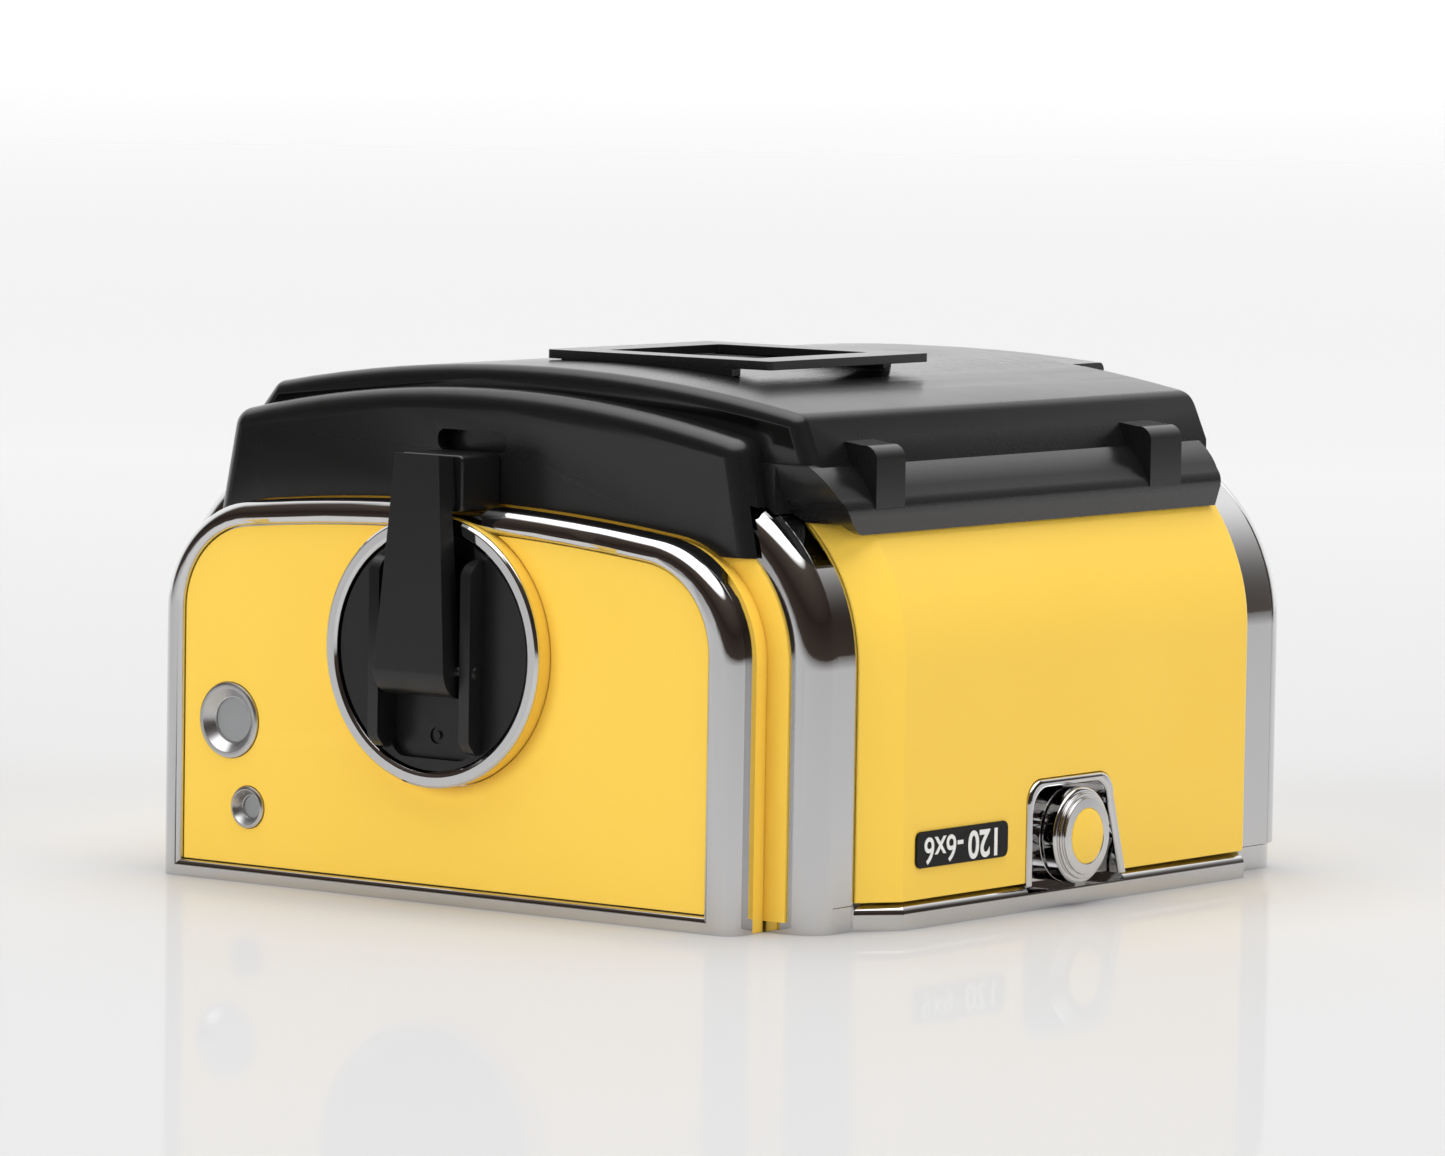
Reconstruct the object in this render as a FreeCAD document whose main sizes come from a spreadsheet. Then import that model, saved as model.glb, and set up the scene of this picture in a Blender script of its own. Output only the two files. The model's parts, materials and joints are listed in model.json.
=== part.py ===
import FreeCAD, Part
import math
import os

# Detachable roll-film magazine for a medium-format camera, lying on its front plate.
# Frame: origin at the centre of the film gate on the front plate's mating face, which is z = 0.
# +X is the magazine's top, with the release button. -Y is the winding-crank side. +Z is its back.

V = FreeCAD.Vector

DIMS = {
    # casing: an arch-shaped tunnel along Y
    "case_half": 43.9, "case_corner": 19.5, "case_side_top": 27.0, "case_wall": 1.6,
    "case_front": -42.9, "case_back": 43.6, "case_edge": 3.8,
    "frame_back": -40.05, "frame_wall": -41.5, "lid_front": 40.9, "lid_edge": 2.5,
    # front plate, film gate and the channel of the dark slide
    "plate_thick": 2.65, "plate_bulge": 47.3, "gate_half": 28.0,
    "slot_low": 0.85, "slot_high": 1.65, "slot_half": 30.9, "slot_end": -31.4,
    "hook_wide": 3.8, "hook_long": 9.0, "hook_x": 36.5, "hook_y": 15.0,
    "screw_x": 38.6, "screw_y": 35.0, "screw_r": 2.0, "screw_deep": 1.3,
    # raised leather panels on the top and bottom sides
    "panel_rise": 3.15, "panel_lip": 0.25, "panel_low": 2.95, "panel_arc": 50.0,
    "bevel_a": -36.5, "flat_a": -32.3, "flat_b": 31.0, "bevel_b": 35.5,
    # gear housing on the crank side
    "cover_left": -39.5, "cover_right": 37.7, "cover_top": 42.0, "cover_corner": 12.5,
    "crown_radius": 235.0, "crown_x": -4.0, "cover_front": -49.05, "cover_mid": -45.4,
    "cover_back": -43.2, "cover_wall_in": -46.9, "cover_wall_out": -47.9,
    "rim_edge": 1.8, "rim_inner": 0.7, "cavity_inset": 1.6, "meet_slot_half": 8.0,
    "leather_front": -48.4, "leather_left": -36.6, "leather_right": 33.9, "leather_low": 1.8,
    "leather_top": 39.4, "leather_corner": 9.3,
    # winding crank
    "crank_x": -0.9, "crank_z": 26.6,
    "ring_out": 14.27, "ring_in": 12.7, "ring_liner": 13.0, "ring_front": -50.7,
    "boss_front": -50.1, "disc_r": 12.45, "disc_front": -50.2, "disc_back": -47.95,
    "channel_floor": -48.3, "channel_floor_low": -49.3, "channel_step": 21.9,
    "fence_gap": 5.45, "fence_thick": 1.35, "fence_front": -52.5,
    "fence_low": 16.2, "fence_high": 36.6, "fence_slope": 3.5,
    "hinge_y": -51.4, "hinge_z": 24.9, "pin_r": 0.6,
    "tail_r": 2.8, "lever_tip": 47.4, "lever_foot_half": 4.75, "lever_tip_half": 2.85,
    "lever_tip_front": -53.2, "grip_low": 42.4, "grip_back": -50.85, "lever_back": -51.4,
    "bevel_r": 11.8, "bevel_top": 24.3, "bevel_tilt": 60.0,
    # gear train behind the crank
    "gear_module": 0.7, "gear_teeth": 26, "gear_front": -46.5, "gear_back": -45.0,
    "shaft_r": 2.6, "post_r": 1.5, "run_fit": 0.05,
    "body_gear_x": -9.19, "body_gear_z": 10.41, "spool_x": 17.14, "spool_z": 29.0,
    "dial_x": -25.5, "dial_z": 24.0, "dial_r": 10.4,
    # frame counter window and film indicator window
    "counter_x": -30.2, "counter_z": 17.2, "counter_r": 4.1,
    "flag_x": -27.5, "flag_z": 8.05, "flag_r": 2.3, "flag_pivot_x": -31.6, "flag_pivot_z": 6.4,
    "flag_reach": 6.4,
    # rear cover
    "dome_front": -40.5, "dome_back": 31.5, "dome_left": -31.4, "dome_right": 38.6,
    "dome_top": 56.3, "dome_x": 3.0, "dome_radius": 185.0, "dome_foot": 47.6,
    "dome_foot_left": -36.0, "dome_foot_right": 40.9, "dome_edge": 1.6,
    "flange_front": -41.0, "flange_back": 30.0, "flange_out": 43.9, "flange_low": 40.6,
    "sweep_mid": -36.8, "sweep_end": -34.6,
    "skirt_front": -44.4, "skirt_back": -37.5, "skirt_half": 36.35, "skirt_low": 38.2,
    "skirt_shoulder": 50.0, "skirt_shoulder_x": 34.0, "skirt_top": 53.9, "skirt_edge": 2.2,
    "tab_half": 21.0, "tab_back": 40.6, "tab_top": 55.7, "cover_gap": 0.15,
    "notch_left": -5.3, "notch_right": 4.0, "notch_low": 47.3, "notch_high": 49.5,
    "catch_left": -5.4, "catch_right": 3.2, "catch_front": -50.7, "catch_low": 41.4,
    "catch_high": 47.3, "scoop_left": -6.5, "scoop_right": 4.8, "scoop_low": 41.0,
    "lug_front_x": 44.0, "lug_low": 43.3, "lug_high": 49.5, "lug_back_x": 40.0,
    # memo holder
    "memo_left": -4.5, "memo_right": 25.3, "memo_front": -27.3, "memo_back": 1.1,
    "memo_low": 56.35, "memo_high": 57.3, "memo_bar": 4.9, "memo_rail": 1.5, "memo_setback": 5.0,
    # release button and its niche
    "button_y": -2.0, "button_z": 7.5, "button_r": 5.1, "cap_r": 2.95, "button_travel": 2.0,
    "niche_left": -10.3, "niche_right": 5.6, "niche_flare": 2.6, "niche_corner": 2.5,
    "niche_high": 13.8, "niche_low": 2.65, "niche_floor": 44.4, "niche_lip": 1.0, "niche_face": 47.4,
    "niche_round": 0.42, "bead_r": 1.0, "stem_r": 1.45, "stem_slot_half": 1.6,
    "catch_plate_left": -14.0, "catch_plate_right": 11.0, "catch_plate_low": 3.4, "catch_plate_high": 11.4,
    # label plate
    "label_left": -30.3, "label_right": -14.0, "label_low": 6.2, "label_high": 10.0,
    # film insert
    "cheek_inner": 33.4, "cheek_outer": 34.6, "cheek_inset": 4.4, "cheek_low": 4.2,
    "bed_low": 14.6, "bed_high": 16.0, "bed_half": 27.0, "spool_half": 32.8,
    "spool_flange": 12.6, "spool_core": 6.0, "spool_bore": 3.0, "spool_pin": 2.95,
    "roller_x": 34.0, "roller_z": 9.2, "roller_r": 3.2, "roller_pin": 1.2,
    "press_low": 5.0, "press_high": 6.2, "press_half_x": 29.0, "press_half_y": 32.6,
    "post_x": 20.0, "dog_tip": -30.0,
    # key of the film insert
    "key_z": 24.0, "key_r": 9.0, "key_front": 44.6, "key_back": 38.6,
    "handle_half": 6.6, "handle_low": 16.4, "handle_thick": 1.5,
    # dark slide
    "blade_low": 1.05, "blade_high": 1.45, "blade_half": 30.5, "blade_end": -31.0,
    "pull_front": 43.9, "pull_back": 53.6, "pull_half": 13.0, "pull_bar": 2.4,
    "pull_low": 0.25, "pull_high": 2.25,
}

doc = FreeCAD.newDocument("roll_film_magazine")
sheet = doc.addObject("Spreadsheet::Sheet", "dims")
for row, (alias, value) in enumerate(DIMS.items(), start=1):
    sheet.set(f"A{row}", alias)
    sheet.set(f"B{row}", str(value))
    sheet.setAlias(f"B{row}", alias)
doc.recompute()

PLANES = {"XY": ("XY_Plane", 1), "YZ": ("YZ_Plane", 1), "XZ": ("XZ_Plane", -1)}
TURNS = {
    "+Z": FreeCAD.Rotation(),
    "+X": FreeCAD.Rotation(V(0, 1, 0), 90),
    "+Y": FreeCAD.Rotation(V(1, 0, 0), -90),
    "-Y": FreeCAD.Rotation(V(1, 0, 0), 90),
}
TOUCH = 1e-4
nodes = []


def cell(alias):
    """The number that the sheet holds under this alias."""
    return float(getattr(sheet, alias))


def keep(piece):
    """Marks a piece as one of the sub-parts that are written out."""
    nodes.append(piece)
    return piece


def path(*steps):
    """Closed outline: a point is a straight run to it, a pair is an arc through the first to the second."""
    start = V(*steps[0], 0)
    here = start
    edges = []
    for step in steps[1:]:
        if isinstance(step[0], tuple):
            to = V(*step[1], 0)
            edges.append(Part.Arc(here, V(*step[0], 0), to))
        else:
            to = V(*step, 0)
            edges.append(Part.LineSegment(here, to))
        here = to
    if here.distanceToPoint(start) > 1e-6:
        edges.append(Part.LineSegment(here, start))
    return edges


def rectangle(left, right, low, high):
    return path((left, low), (right, low), (right, high), (left, high))


def rounded(left, right, low, high, radius):
    """Rectangle with four round corners."""
    sag = radius * (1 - math.sqrt(0.5))
    return path(
        (left + radius, low), (right - radius, low),
        ((right - sag, low + sag), (right, low + radius)), (right, high - radius),
        ((right - sag, high - sag), (right - radius, high)), (left + radius, high),
        ((left + sag, high - sag), (left, high - radius)), (left, low + radius),
        ((left + sag, low + sag), (left + radius, low)))


def circle(across, up, radius):
    return [Part.Circle(V(across, up, 0), V(0, 0, 1), radius)]


def casing_outline(offset, low):
    """The casing's section: upright sides and two large round corners, moved outwards by offset."""
    half = cell("case_half") + offset
    middle = cell("case_half") - cell("case_corner")
    spring = cell("case_side_top")
    radius = cell("case_corner") + offset
    diagonal = radius * math.sqrt(0.5)
    top = spring + radius
    return path(
        (-half, low), (half, low), (half, spring),
        ((middle + diagonal, spring + diagonal), (middle, top)), (-middle, top),
        ((-middle - diagonal, spring + diagonal), (-half, spring)))


def crowned_outline(left, right, low, top, corner, inset=0.0):
    """Flat foot, upright sides and a crowned top, with round corners tangent to a side and to the crown."""
    crown = cell("crown_radius") - inset
    centre_x = cell("crown_x")
    centre_z = top - inset - crown
    radius = corner - inset
    corners = []
    for side, sign in ((right - inset, 1), (left + inset, -1)):
        mid_x = side - sign * radius
        mid_z = centre_z + math.sqrt((crown - radius) ** 2 - (mid_x - centre_x) ** 2)
        along = math.atan2(mid_z - centre_z, mid_x - centre_x)
        level = 0.0 if sign > 0 else math.pi
        halfway = (along + level) / 2
        through = (mid_x + radius * math.cos(halfway), mid_z + radius * math.sin(halfway))
        touch = (centre_x + crown * math.cos(along), centre_z + crown * math.sin(along))
        corners.append(((side, mid_z), through, touch))
    (side_r, through_r, touch_r), (side_l, through_l, touch_l) = corners
    return path(
        (left + inset, low), (right - inset, low), side_r, (through_r, touch_r),
        ((centre_x, top - inset), touch_l), (through_l, side_l))


def gear_outline(centre, tooth_at):
    """Straight-flanked teeth with a little backlash; the first tooth points along the angle tooth_at."""
    teeth = int(cell("gear_teeth"))
    module = cell("gear_module")
    pitch = module * teeth / 2
    slope = math.tan(math.radians(20))
    half = 0.8 * math.pi * module / 4
    tip, root = 0.85 * module, 1.15 * module
    corners = []
    for tooth in range(teeth):
        middle = tooth_at + 2 * math.pi * tooth / teeth
        for radius, side in ((pitch - root, -1), (pitch + tip, -1), (pitch + tip, 1), (pitch - root, 1)):
            width = half - (radius - pitch) * slope
            angle = middle + side * width / radius
            corners.append((centre[0] + radius * math.cos(angle), centre[1] + radius * math.sin(angle)))
    return path(*corners)


def new_body(label):
    body = doc.addObject("PartDesign::Body", label)
    body.Label = label
    return body


def sketch_on(body, plane, edges, station):
    """A sketch on one of the body's own origin planes, moved along its axis to the station."""
    role, sign = PLANES[plane]
    flat = next(feature for feature in body.Origin.OriginFeatures if feature.Role == role)
    sketch = body.newObject("Sketcher::SketchObject", body.Name + "_sketch")
    sketch.AttachmentSupport = (flat, [""])
    sketch.MapMode = "FlatFace"
    sketch.addGeometry(edges, False)
    sketch.setExpression("AttachmentOffset.Base.z", station if sign > 0 else f"-({station})")
    return sketch


def pad(body, plane, edges, low, high):
    """Adds the outline's prism between two stations on the plane's axis."""
    sign = PLANES[plane][1]
    feature = body.newObject("PartDesign::Pad", body.Name + "_pad")
    feature.Profile = sketch_on(body, plane, edges, low if sign > 0 else high)
    feature.setExpression("Length", f"({high}) - ({low})")
    body.Tip = feature


def pocket(body, plane, edges, low, high):
    """Cuts the outline's prism between two stations on the plane's axis."""
    sign = PLANES[plane][1]
    feature = body.newObject("PartDesign::Pocket", body.Name + "_pocket")
    feature.Profile = sketch_on(body, plane, edges, high if sign > 0 else low)
    feature.setExpression("Length", f"({high}) - ({low})")
    body.Tip = feature


def round_edges(body, radius, belongs, foot=0.0):
    """Rounds every edge of the body whose points all belong, but none that lies at the height foot."""
    doc.recompute()
    base = body.Tip
    names = []
    for number, edge in enumerate(base.Shape.Edges, start=1):
        points = edge.discretize(5)
        on_foot = all(abs(point.z - foot) < TOUCH for point in points)
        if all(belongs(point) for point in points) and not on_foot:
            names.append(f"Edge{number}")
    feature = body.newObject("PartDesign::Fillet", body.Name + "_round")
    feature.Base = (base, names)
    feature.setExpression("Radius", radius)
    body.Tip = feature


def put(piece, axis, place):
    """Turns a piece so that its own Z runs along axis, and moves it to the place that the sheet gives."""
    piece.Placement = FreeCAD.Placement(V(), TURNS[axis])
    for letter, expression in zip("xyz", place):
        piece.setExpression(f"Placement.Base.{letter}", expression)
    return piece


def lathe(label, profile, axis, place):
    """Turned piece: the profile's points are (radius, height along axis)."""
    body = new_body(label)
    turn = body.newObject("PartDesign::Revolution", label + "_turn")
    turn.Profile = sketch_on(body, "XZ", path(*profile), "0")
    turn.ReferenceAxis = (turn.Profile[0], ["V_Axis"])
    turn.Angle = 360
    body.Tip = turn
    return put(body, axis, place)


def rod(label, axis, radius, length, place):
    piece = doc.addObject("Part::Cylinder", label)
    piece.Label = label
    piece.setExpression("Radius", radius)
    piece.setExpression("Height", length)
    return put(piece, axis, place)


def box(label, low, high):
    """Block between two corners, each three expressions."""
    piece = doc.addObject("Part::Box", label)
    piece.Label = label
    for size, letter, start, end in zip(("Length", "Width", "Height"), "xyz", low, high):
        piece.setExpression(size, f"({end}) - ({start})")
        piece.setExpression(f"Placement.Base.{letter}", start)
    return piece


def fuse(label, *pieces):
    piece = doc.addObject("Part::MultiFuse", label)
    piece.Label = label
    piece.Shapes = list(pieces)
    return piece


def cut(label, base, *tools):
    piece = doc.addObject("Part::Cut", label)
    piece.Label = label
    piece.Base = base
    piece.Tool = tools[0] if len(tools) == 1 else fuse(label + "_tools", *tools)
    return piece


def mirrored_x(edges):
    """The same outline on the other side of X = 0."""
    mirrored = []
    for edge in edges:
        twin = edge.copy()
        twin.mirror(V(), V(0, 1, 0))
        mirrored.append(twin)
    return mirrored


# ---------------------------------------------------------------- casing and front plate
def front_plate():
    """Mating plate with the film gate, hook sockets and the dark slide's channel."""
    body = new_body("front_plate")
    half, bulge, edge = cell("case_half"), cell("plate_bulge"), cell("case_edge")
    front, back = cell("frame_back"), cell("case_back")
    sag = edge * (1 - math.sqrt(0.5))
    outline = path(
        (-half, front), (half, front), (half, cell("bevel_a")), (bulge, cell("flat_a")),
        (bulge, cell("flat_b")), (half, cell("bevel_b")), (half, back - edge),
        ((half - sag, back - sag), (half - edge, back)), (-half + edge, back),
        ((-half + sag, back - sag), (-half, back - edge)), (-half, cell("bevel_b")),
        (-bulge, cell("flat_b")), (-bulge, cell("flat_a")), (-half, cell("bevel_a")))
    pad(body, "XY", outline, "0", "dims.plate_thick")
    gate = cell("gate_half")
    pocket(body, "XY", rounded(-gate, gate, -gate, gate, 0.8), "-1", "dims.plate_thick + 1")
    round_edges(body, "dims.bead_r", lambda point: abs(point.z - cell("plate_thick")) < TOUCH
                and abs(point.x) > half - TOUCH
                and cell("bevel_a") - TOUCH < point.y < cell("bevel_b") + TOUCH)
    relief = rectangle(cell("niche_floor"), bulge + 1, cell("niche_left") + 0.3, cell("niche_right") + 2.2)
    pocket(body, "XY", relief, "dims.button_z - dims.button_r - 0.5", "dims.plate_thick + 1")
    pocket(body, "YZ", rectangle(cell("slot_end"), back + 1, cell("slot_low"), cell("slot_high")),
           "-dims.slot_half", "dims.slot_half")
    wide, long = cell("hook_wide") / 2, cell("hook_long") / 2
    for side in (-1, 1):
        for along in (-1, 1):
            x, y = side * cell("hook_x"), along * cell("hook_y")
            pocket(body, "XY", rounded(x - wide, x + wide, y - long, y + long, 0.8),
                   "-1", "dims.plate_thick + 1")
            screw = circle(side * cell("screw_x"), along * cell("screw_y"), cell("screw_r"))
            pocket(body, "XY", screw, "-1", "dims.screw_deep")
    return keep(body)


def plate_screws():
    for number, (side, along) in enumerate(((-1, -1), (-1, 1), (1, -1), (1, 1)), start=1):
        body = new_body(f"plate_screw_{number}")
        x, y, radius = side * cell("screw_x"), along * cell("screw_y"), cell("screw_r")
        pad(body, "XY", circle(x, y, radius), "0.1", "dims.screw_deep")
        pocket(body, "XY", rectangle(x - radius, x + radius, y - 0.25, y + 0.25), "0", "0.5")
        keep(body)


def end_frame():
    """Rolled end frame on the crank side, with its end wall."""
    body = new_body("end_frame")
    front = cell("case_front")
    pad(body, "XZ", casing_outline(0, 0), "dims.case_front", "dims.frame_back")
    round_edges(body, "dims.case_edge - 0.96", lambda point: abs(point.y - front) < TOUCH)
    pocket(body, "XZ", casing_outline(-cell("case_wall"), cell("case_wall")),
           "dims.frame_wall", "dims.frame_back + 1")
    bore = circle(cell("spool_x"), cell("spool_z"), cell("shaft_r") + cell("run_fit"))
    pocket(body, "XZ", bore, "dims.case_front - 1", "dims.frame_back")
    return keep(body)


def casing():
    """Tunnel of sheet metal behind the end frame, open at the insert's end."""
    body = new_body("casing")
    low = cell("plate_thick")
    pad(body, "XZ", casing_outline(0, low), "dims.frame_back", "dims.lid_front - 0.05")
    inside = casing_outline(-cell("case_wall"), low - 1)
    pocket(body, "XZ", inside, "dims.frame_back - 1", "dims.lid_front + 1")
    pocket(body, "YZ", stem_slot(), "dims.case_half - 3", "dims.case_half + 1")
    return keep(body)


def stem_slot():
    """Slot that the release button's stem travels in."""
    half, room = cell("stem_slot_half"), cell("button_travel") + 0.3
    along, up = cell("button_y"), cell("button_z")
    return rounded(along - half - room, along + half, up - half, up + half, half - 0.1)


def niche_outline(inset, low):
    """Niche round the release button: upright on one side, flaring towards its foot on the other."""
    left, right = cell("niche_left") + inset, cell("niche_right") - inset
    high, corner = cell("niche_high") - inset, cell("niche_corner")
    sag = corner * (1 - math.sqrt(0.5))
    return path(
        (left, low), (right + cell("niche_flare"), low), (right, high - corner),
        ((right - sag, high - sag), (right - corner, high)), (left + corner, high),
        ((left + sag, high - sag), (left, high - corner)))


def band_outline(rise):
    """Section of a raised side panel: up the side and a part of the way round the large corner."""
    half, spring, corner = cell("case_half"), cell("case_side_top"), cell("case_corner")
    middle = half - corner
    low = cell("panel_low")
    end = math.radians(cell("panel_arc"))

    def on(radius, angle):
        return (middle + radius * math.cos(angle), spring + radius * math.sin(angle))

    outer = corner + rise
    return path(
        (half, low), (half + rise, low), (half + rise, spring), (on(outer, end / 2), on(outer, end)),
        on(corner, end), (on(corner, end / 2), (half, spring)))


def side_panel(label, flip):
    """Leather panel whose two ends slope down to the casing."""
    body = new_body(label)
    stations = (("dims.bevel_a", "panel_lip"), ("dims.flat_a", "panel_rise"),
                ("dims.flat_b", "panel_rise"), ("dims.bevel_b", "panel_lip"))
    sections = []
    for station, rise in stations:
        outline = band_outline(cell(rise))
        sections.append(sketch_on(body, "XZ", mirrored_x(outline) if flip else outline, station))
    loft = body.newObject("PartDesign::AdditiveLoft", label + "_loft")
    loft.Profile = sections[0]
    loft.Sections = sections[1:]
    loft.Ruled = True
    body.Tip = loft
    if not flip:
        niche = niche_outline(0, cell("panel_low") - 0.5)
        pocket(body, "YZ", niche, "dims.case_half - 1", "dims.plate_bulge + 1")
    return keep(body)


def ledge_leather():
    """Thin leather on the end frame, seen as a narrow strip beside the gear housing."""
    body = new_body("ledge_leather")
    pad(body, "XZ", casing_outline(-cell("case_edge"), 1.2), "dims.cover_back", "dims.case_front")
    pocket(body, "XZ", circle(cell("spool_x"), cell("spool_z"), cell("shaft_r") + 0.4),
           "dims.cover_back - 1", "dims.case_front + 1")
    return keep(body)


# ---------------------------------------------------------------- gear housing
def cover_outline(inset=0.0, low=0.0):
    return crowned_outline(cell("cover_left"), cell("cover_right"), low, cell("cover_top"),
                           cell("cover_corner"), inset)


def leather_outline(inset=0.0):
    return crowned_outline(cell("leather_left"), cell("leather_right"), cell("leather_low") + inset,
                           cell("leather_top"), cell("leather_corner"), inset)


def scoop_outline():
    """Gap in the rim under the tip of the folded crank."""
    return rounded(cell("scoop_left"), cell("scoop_right"), cell("scoop_low"), cell("cover_top") + 6, 1.2)


def housing_base():
    """Leather-faced foot of the gear housing."""
    body = new_body("housing_base")
    pad(body, "XZ", cover_outline(0.3), "dims.cover_mid", "dims.cover_back")
    inside = cover_outline(cell("cavity_inset") + 0.2, 2.0)
    pocket(body, "XZ", inside, "dims.cover_mid - 1", "dims.cover_back + 1")
    pocket(body, "XZ", scoop_outline(), "dims.cover_mid - 1", "dims.cover_back + 1")
    pocket(body, "XZ", meet_slot(), "dims.cover_mid - 1", "dims.cover_back - 0.4")
    return keep(body)


def meet_slot():
    """Slot in the foot through which the lowest gear meets the camera's."""
    middle, half = cell("body_gear_x"), cell("meet_slot_half")
    return rectangle(middle - half, middle + half, -1, 3)


def housing_cover():
    """Chromed cover with a round rim, a recess for the leather, and the gears' posts inside."""
    body = new_body("housing_cover")
    front = cell("cover_front")
    pad(body, "XZ", cover_outline(), "dims.cover_front", "dims.cover_mid")
    round_edges(body, "dims.rim_edge", lambda point: abs(point.y - front) < TOUCH)
    pocket(body, "XZ", leather_outline(), "dims.cover_front - 1", "dims.cover_wall_out")
    round_edges(body, "dims.rim_inner", lambda point: abs(point.y - front) < TOUCH
                and cell("leather_left") - 0.1 < point.x < cell("leather_right") + 0.1
                and 1.0 < point.z < cell("leather_top") + 0.1)
    pocket(body, "XZ", scoop_outline(), "dims.cover_front - 1", "dims.cover_mid + 1")
    pocket(body, "XZ", cover_outline(cell("cavity_inset"), 2.0), "dims.cover_wall_in", "dims.cover_mid + 1")
    collar = circle(cell("crank_x"), cell("crank_z"), cell("ring_out"))
    pocket(body, "XZ", collar, "dims.cover_front - 1", "dims.cover_wall_out")
    seat = circle(cell("crank_x"), cell("crank_z"), cell("ring_in"))
    pocket(body, "XZ", seat, "dims.cover_front - 1", "dims.disc_back + 0.25")
    bore = circle(cell("crank_x"), cell("crank_z"), cell("shaft_r") + cell("run_fit"))
    pocket(body, "XZ", bore, "dims.cover_front", "dims.cover_mid")
    windows = (("counter_x", "counter_z", "counter_r"), ("flag_x", "flag_z", "flag_r"))
    for across, up, radius in windows:
        hole = circle(cell(across), cell(up), cell(radius) - 0.5)
        pocket(body, "XZ", hole, "dims.cover_front", "dims.cover_mid")
    pocket(body, "XZ", meet_slot(), "dims.cover_wall_in", "dims.cover_mid + 1")
    posts = (("body_gear_x", "body_gear_z"), ("dial_x", "dial_z"), ("flag_pivot_x", "flag_pivot_z"))
    for across, up in posts:
        post = circle(cell(across), cell(up), cell("post_r"))
        pad(body, "XZ", post, "dims.cover_wall_in - 0.2", "dims.gear_back + 0.4")
    return keep(body)


def side_leather():
    body = new_body("side_leather")
    pad(body, "XZ", leather_outline(0.12), "dims.leather_front", "dims.cover_wall_out")
    holes = (("crank_x", "crank_z", "ring_out"), ("counter_x", "counter_z", "counter_r"),
             ("flag_x", "flag_z", "flag_r"))
    for across, up, radius in holes:
        pocket(body, "XZ", circle(cell(across), cell(up), cell(radius)),
               "dims.leather_front - 1", "dims.cover_wall_out + 1")
    return keep(body)


def crank_seat():
    """Leather-covered collar round the crank, with a chromed ring on its end."""
    seat = ("dims.crank_x", "dims.cover_wall_out", "dims.crank_z")
    high = cell("cover_wall_out") - cell("boss_front")
    top = cell("cover_wall_out") - cell("ring_front")
    out, inside, liner = cell("ring_out"), cell("ring_in"), cell("ring_liner")
    collar = ((liner, 0), (out - 0.1, 0), (out - 0.1, high), (liner, high))
    keep(lathe("crank_collar", collar, "-Y", seat))
    ring = ((inside, 0), (liner, 0), (liner, high), (out, high), (out, top - 0.25), (out - 0.3, top),
            (inside + 0.35, top), (inside, top - 0.2))
    keep(lathe("crank_ring", ring, "-Y", seat))


def window(label, across, up, radius, bore):
    """Bezel with a conical mouth, and the small glass at its bottom."""
    place = (f"dims.{across}", "dims.cover_wall_in", f"dims.{up}")
    out = cell(radius)
    flange = cell("cover_wall_in") - cell("cover_wall_out")
    face = 1.85
    mouth = bore + (out - bore) * 0.62
    bezel = ((bore, 0.1), (out - 0.5, 0.1), (out - 0.5, flange), (out - 0.05, flange),
             (out - 0.05, face - 0.15), (out - 0.3, face), (mouth, face), (bore + 0.1, 0.9), (bore, 0.9))
    keep(lathe(label + "_bezel", bezel, "-Y", place))
    keep(lathe(label + "_glass", ((0, 0.3), (bore, 0.3), (bore, 0.7), (0, 0.7)), "-Y", place))


# ---------------------------------------------------------------- rear cover
def arch(x, top, middle, radius):
    """Height of a shallow cylinder along Y at this X."""
    return top - radius + math.sqrt(radius ** 2 - (x - middle) ** 2)


def dome_outline(low):
    left, right = cell("dome_left"), cell("dome_right")
    top, middle, radius = cell("dome_top"), cell("dome_x"), cell("dome_radius")
    foot = cell("dome_foot")
    return path(
        (cell("dome_foot_left"), low), (cell("dome_foot_right"), low), (cell("dome_foot_right"), foot),
        (right, arch(right, top, middle, radius)), ((middle, top), (left, arch(left, top, middle, radius))),
        (cell("dome_foot_left"), foot))


def cover_dome():
    body = new_body("cover_dome")
    pad(body, "XZ", dome_outline(42.0), "dims.dome_front", "dims.dome_back")
    front, foot = cell("dome_front"), cell("dome_foot")
    round_edges(body, "dims.dome_edge", lambda point: point.z > foot + 4
                or point.z > foot - TOUCH and abs(point.y - front) < TOUCH)
    return body


def cover_flange():
    """Sloping flange that laps over the top panel."""
    body = new_body("cover_flange")
    out, low, foot = cell("flange_out"), cell("flange_low"), cell("dome_foot")
    inner, root = cell("dome_foot_right") - 0.4, 20.0
    shoulder = (inner + 1.0, foot - 0.5), (out - 0.5, foot - 3.0)
    lip = (out, foot - 4.2), (out - 0.15, foot - 5.2)
    outline = path((root, foot + 0.2), (inner, foot + 0.2), shoulder, lip, (out - 0.7, low), (root, low))
    pad(body, "XZ", outline, "dims.flange_front", "dims.flange_back")
    return body


def cover_sweep():
    """Tool that sweeps the near end of the flange down and back from the dome's corner."""
    tool = new_body("cover_sweep")
    low, foot = cell("flange_low"), cell("dome_foot")
    front, mid, end = cell("flange_front"), cell("sweep_mid"), cell("sweep_end")
    outline = path((front - 1, foot + 0.6), (front, foot), ((front + 1.6, foot - 3.4), (mid, low + 0.9)),
                   ((mid + 0.9, low + 0.25), (end, low - 0.05)), (end, low - 1), (front - 1, low - 1))
    pad(tool, "YZ", outline, "dims.skirt_half", "dims.flange_out + 1")
    return tool


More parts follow.
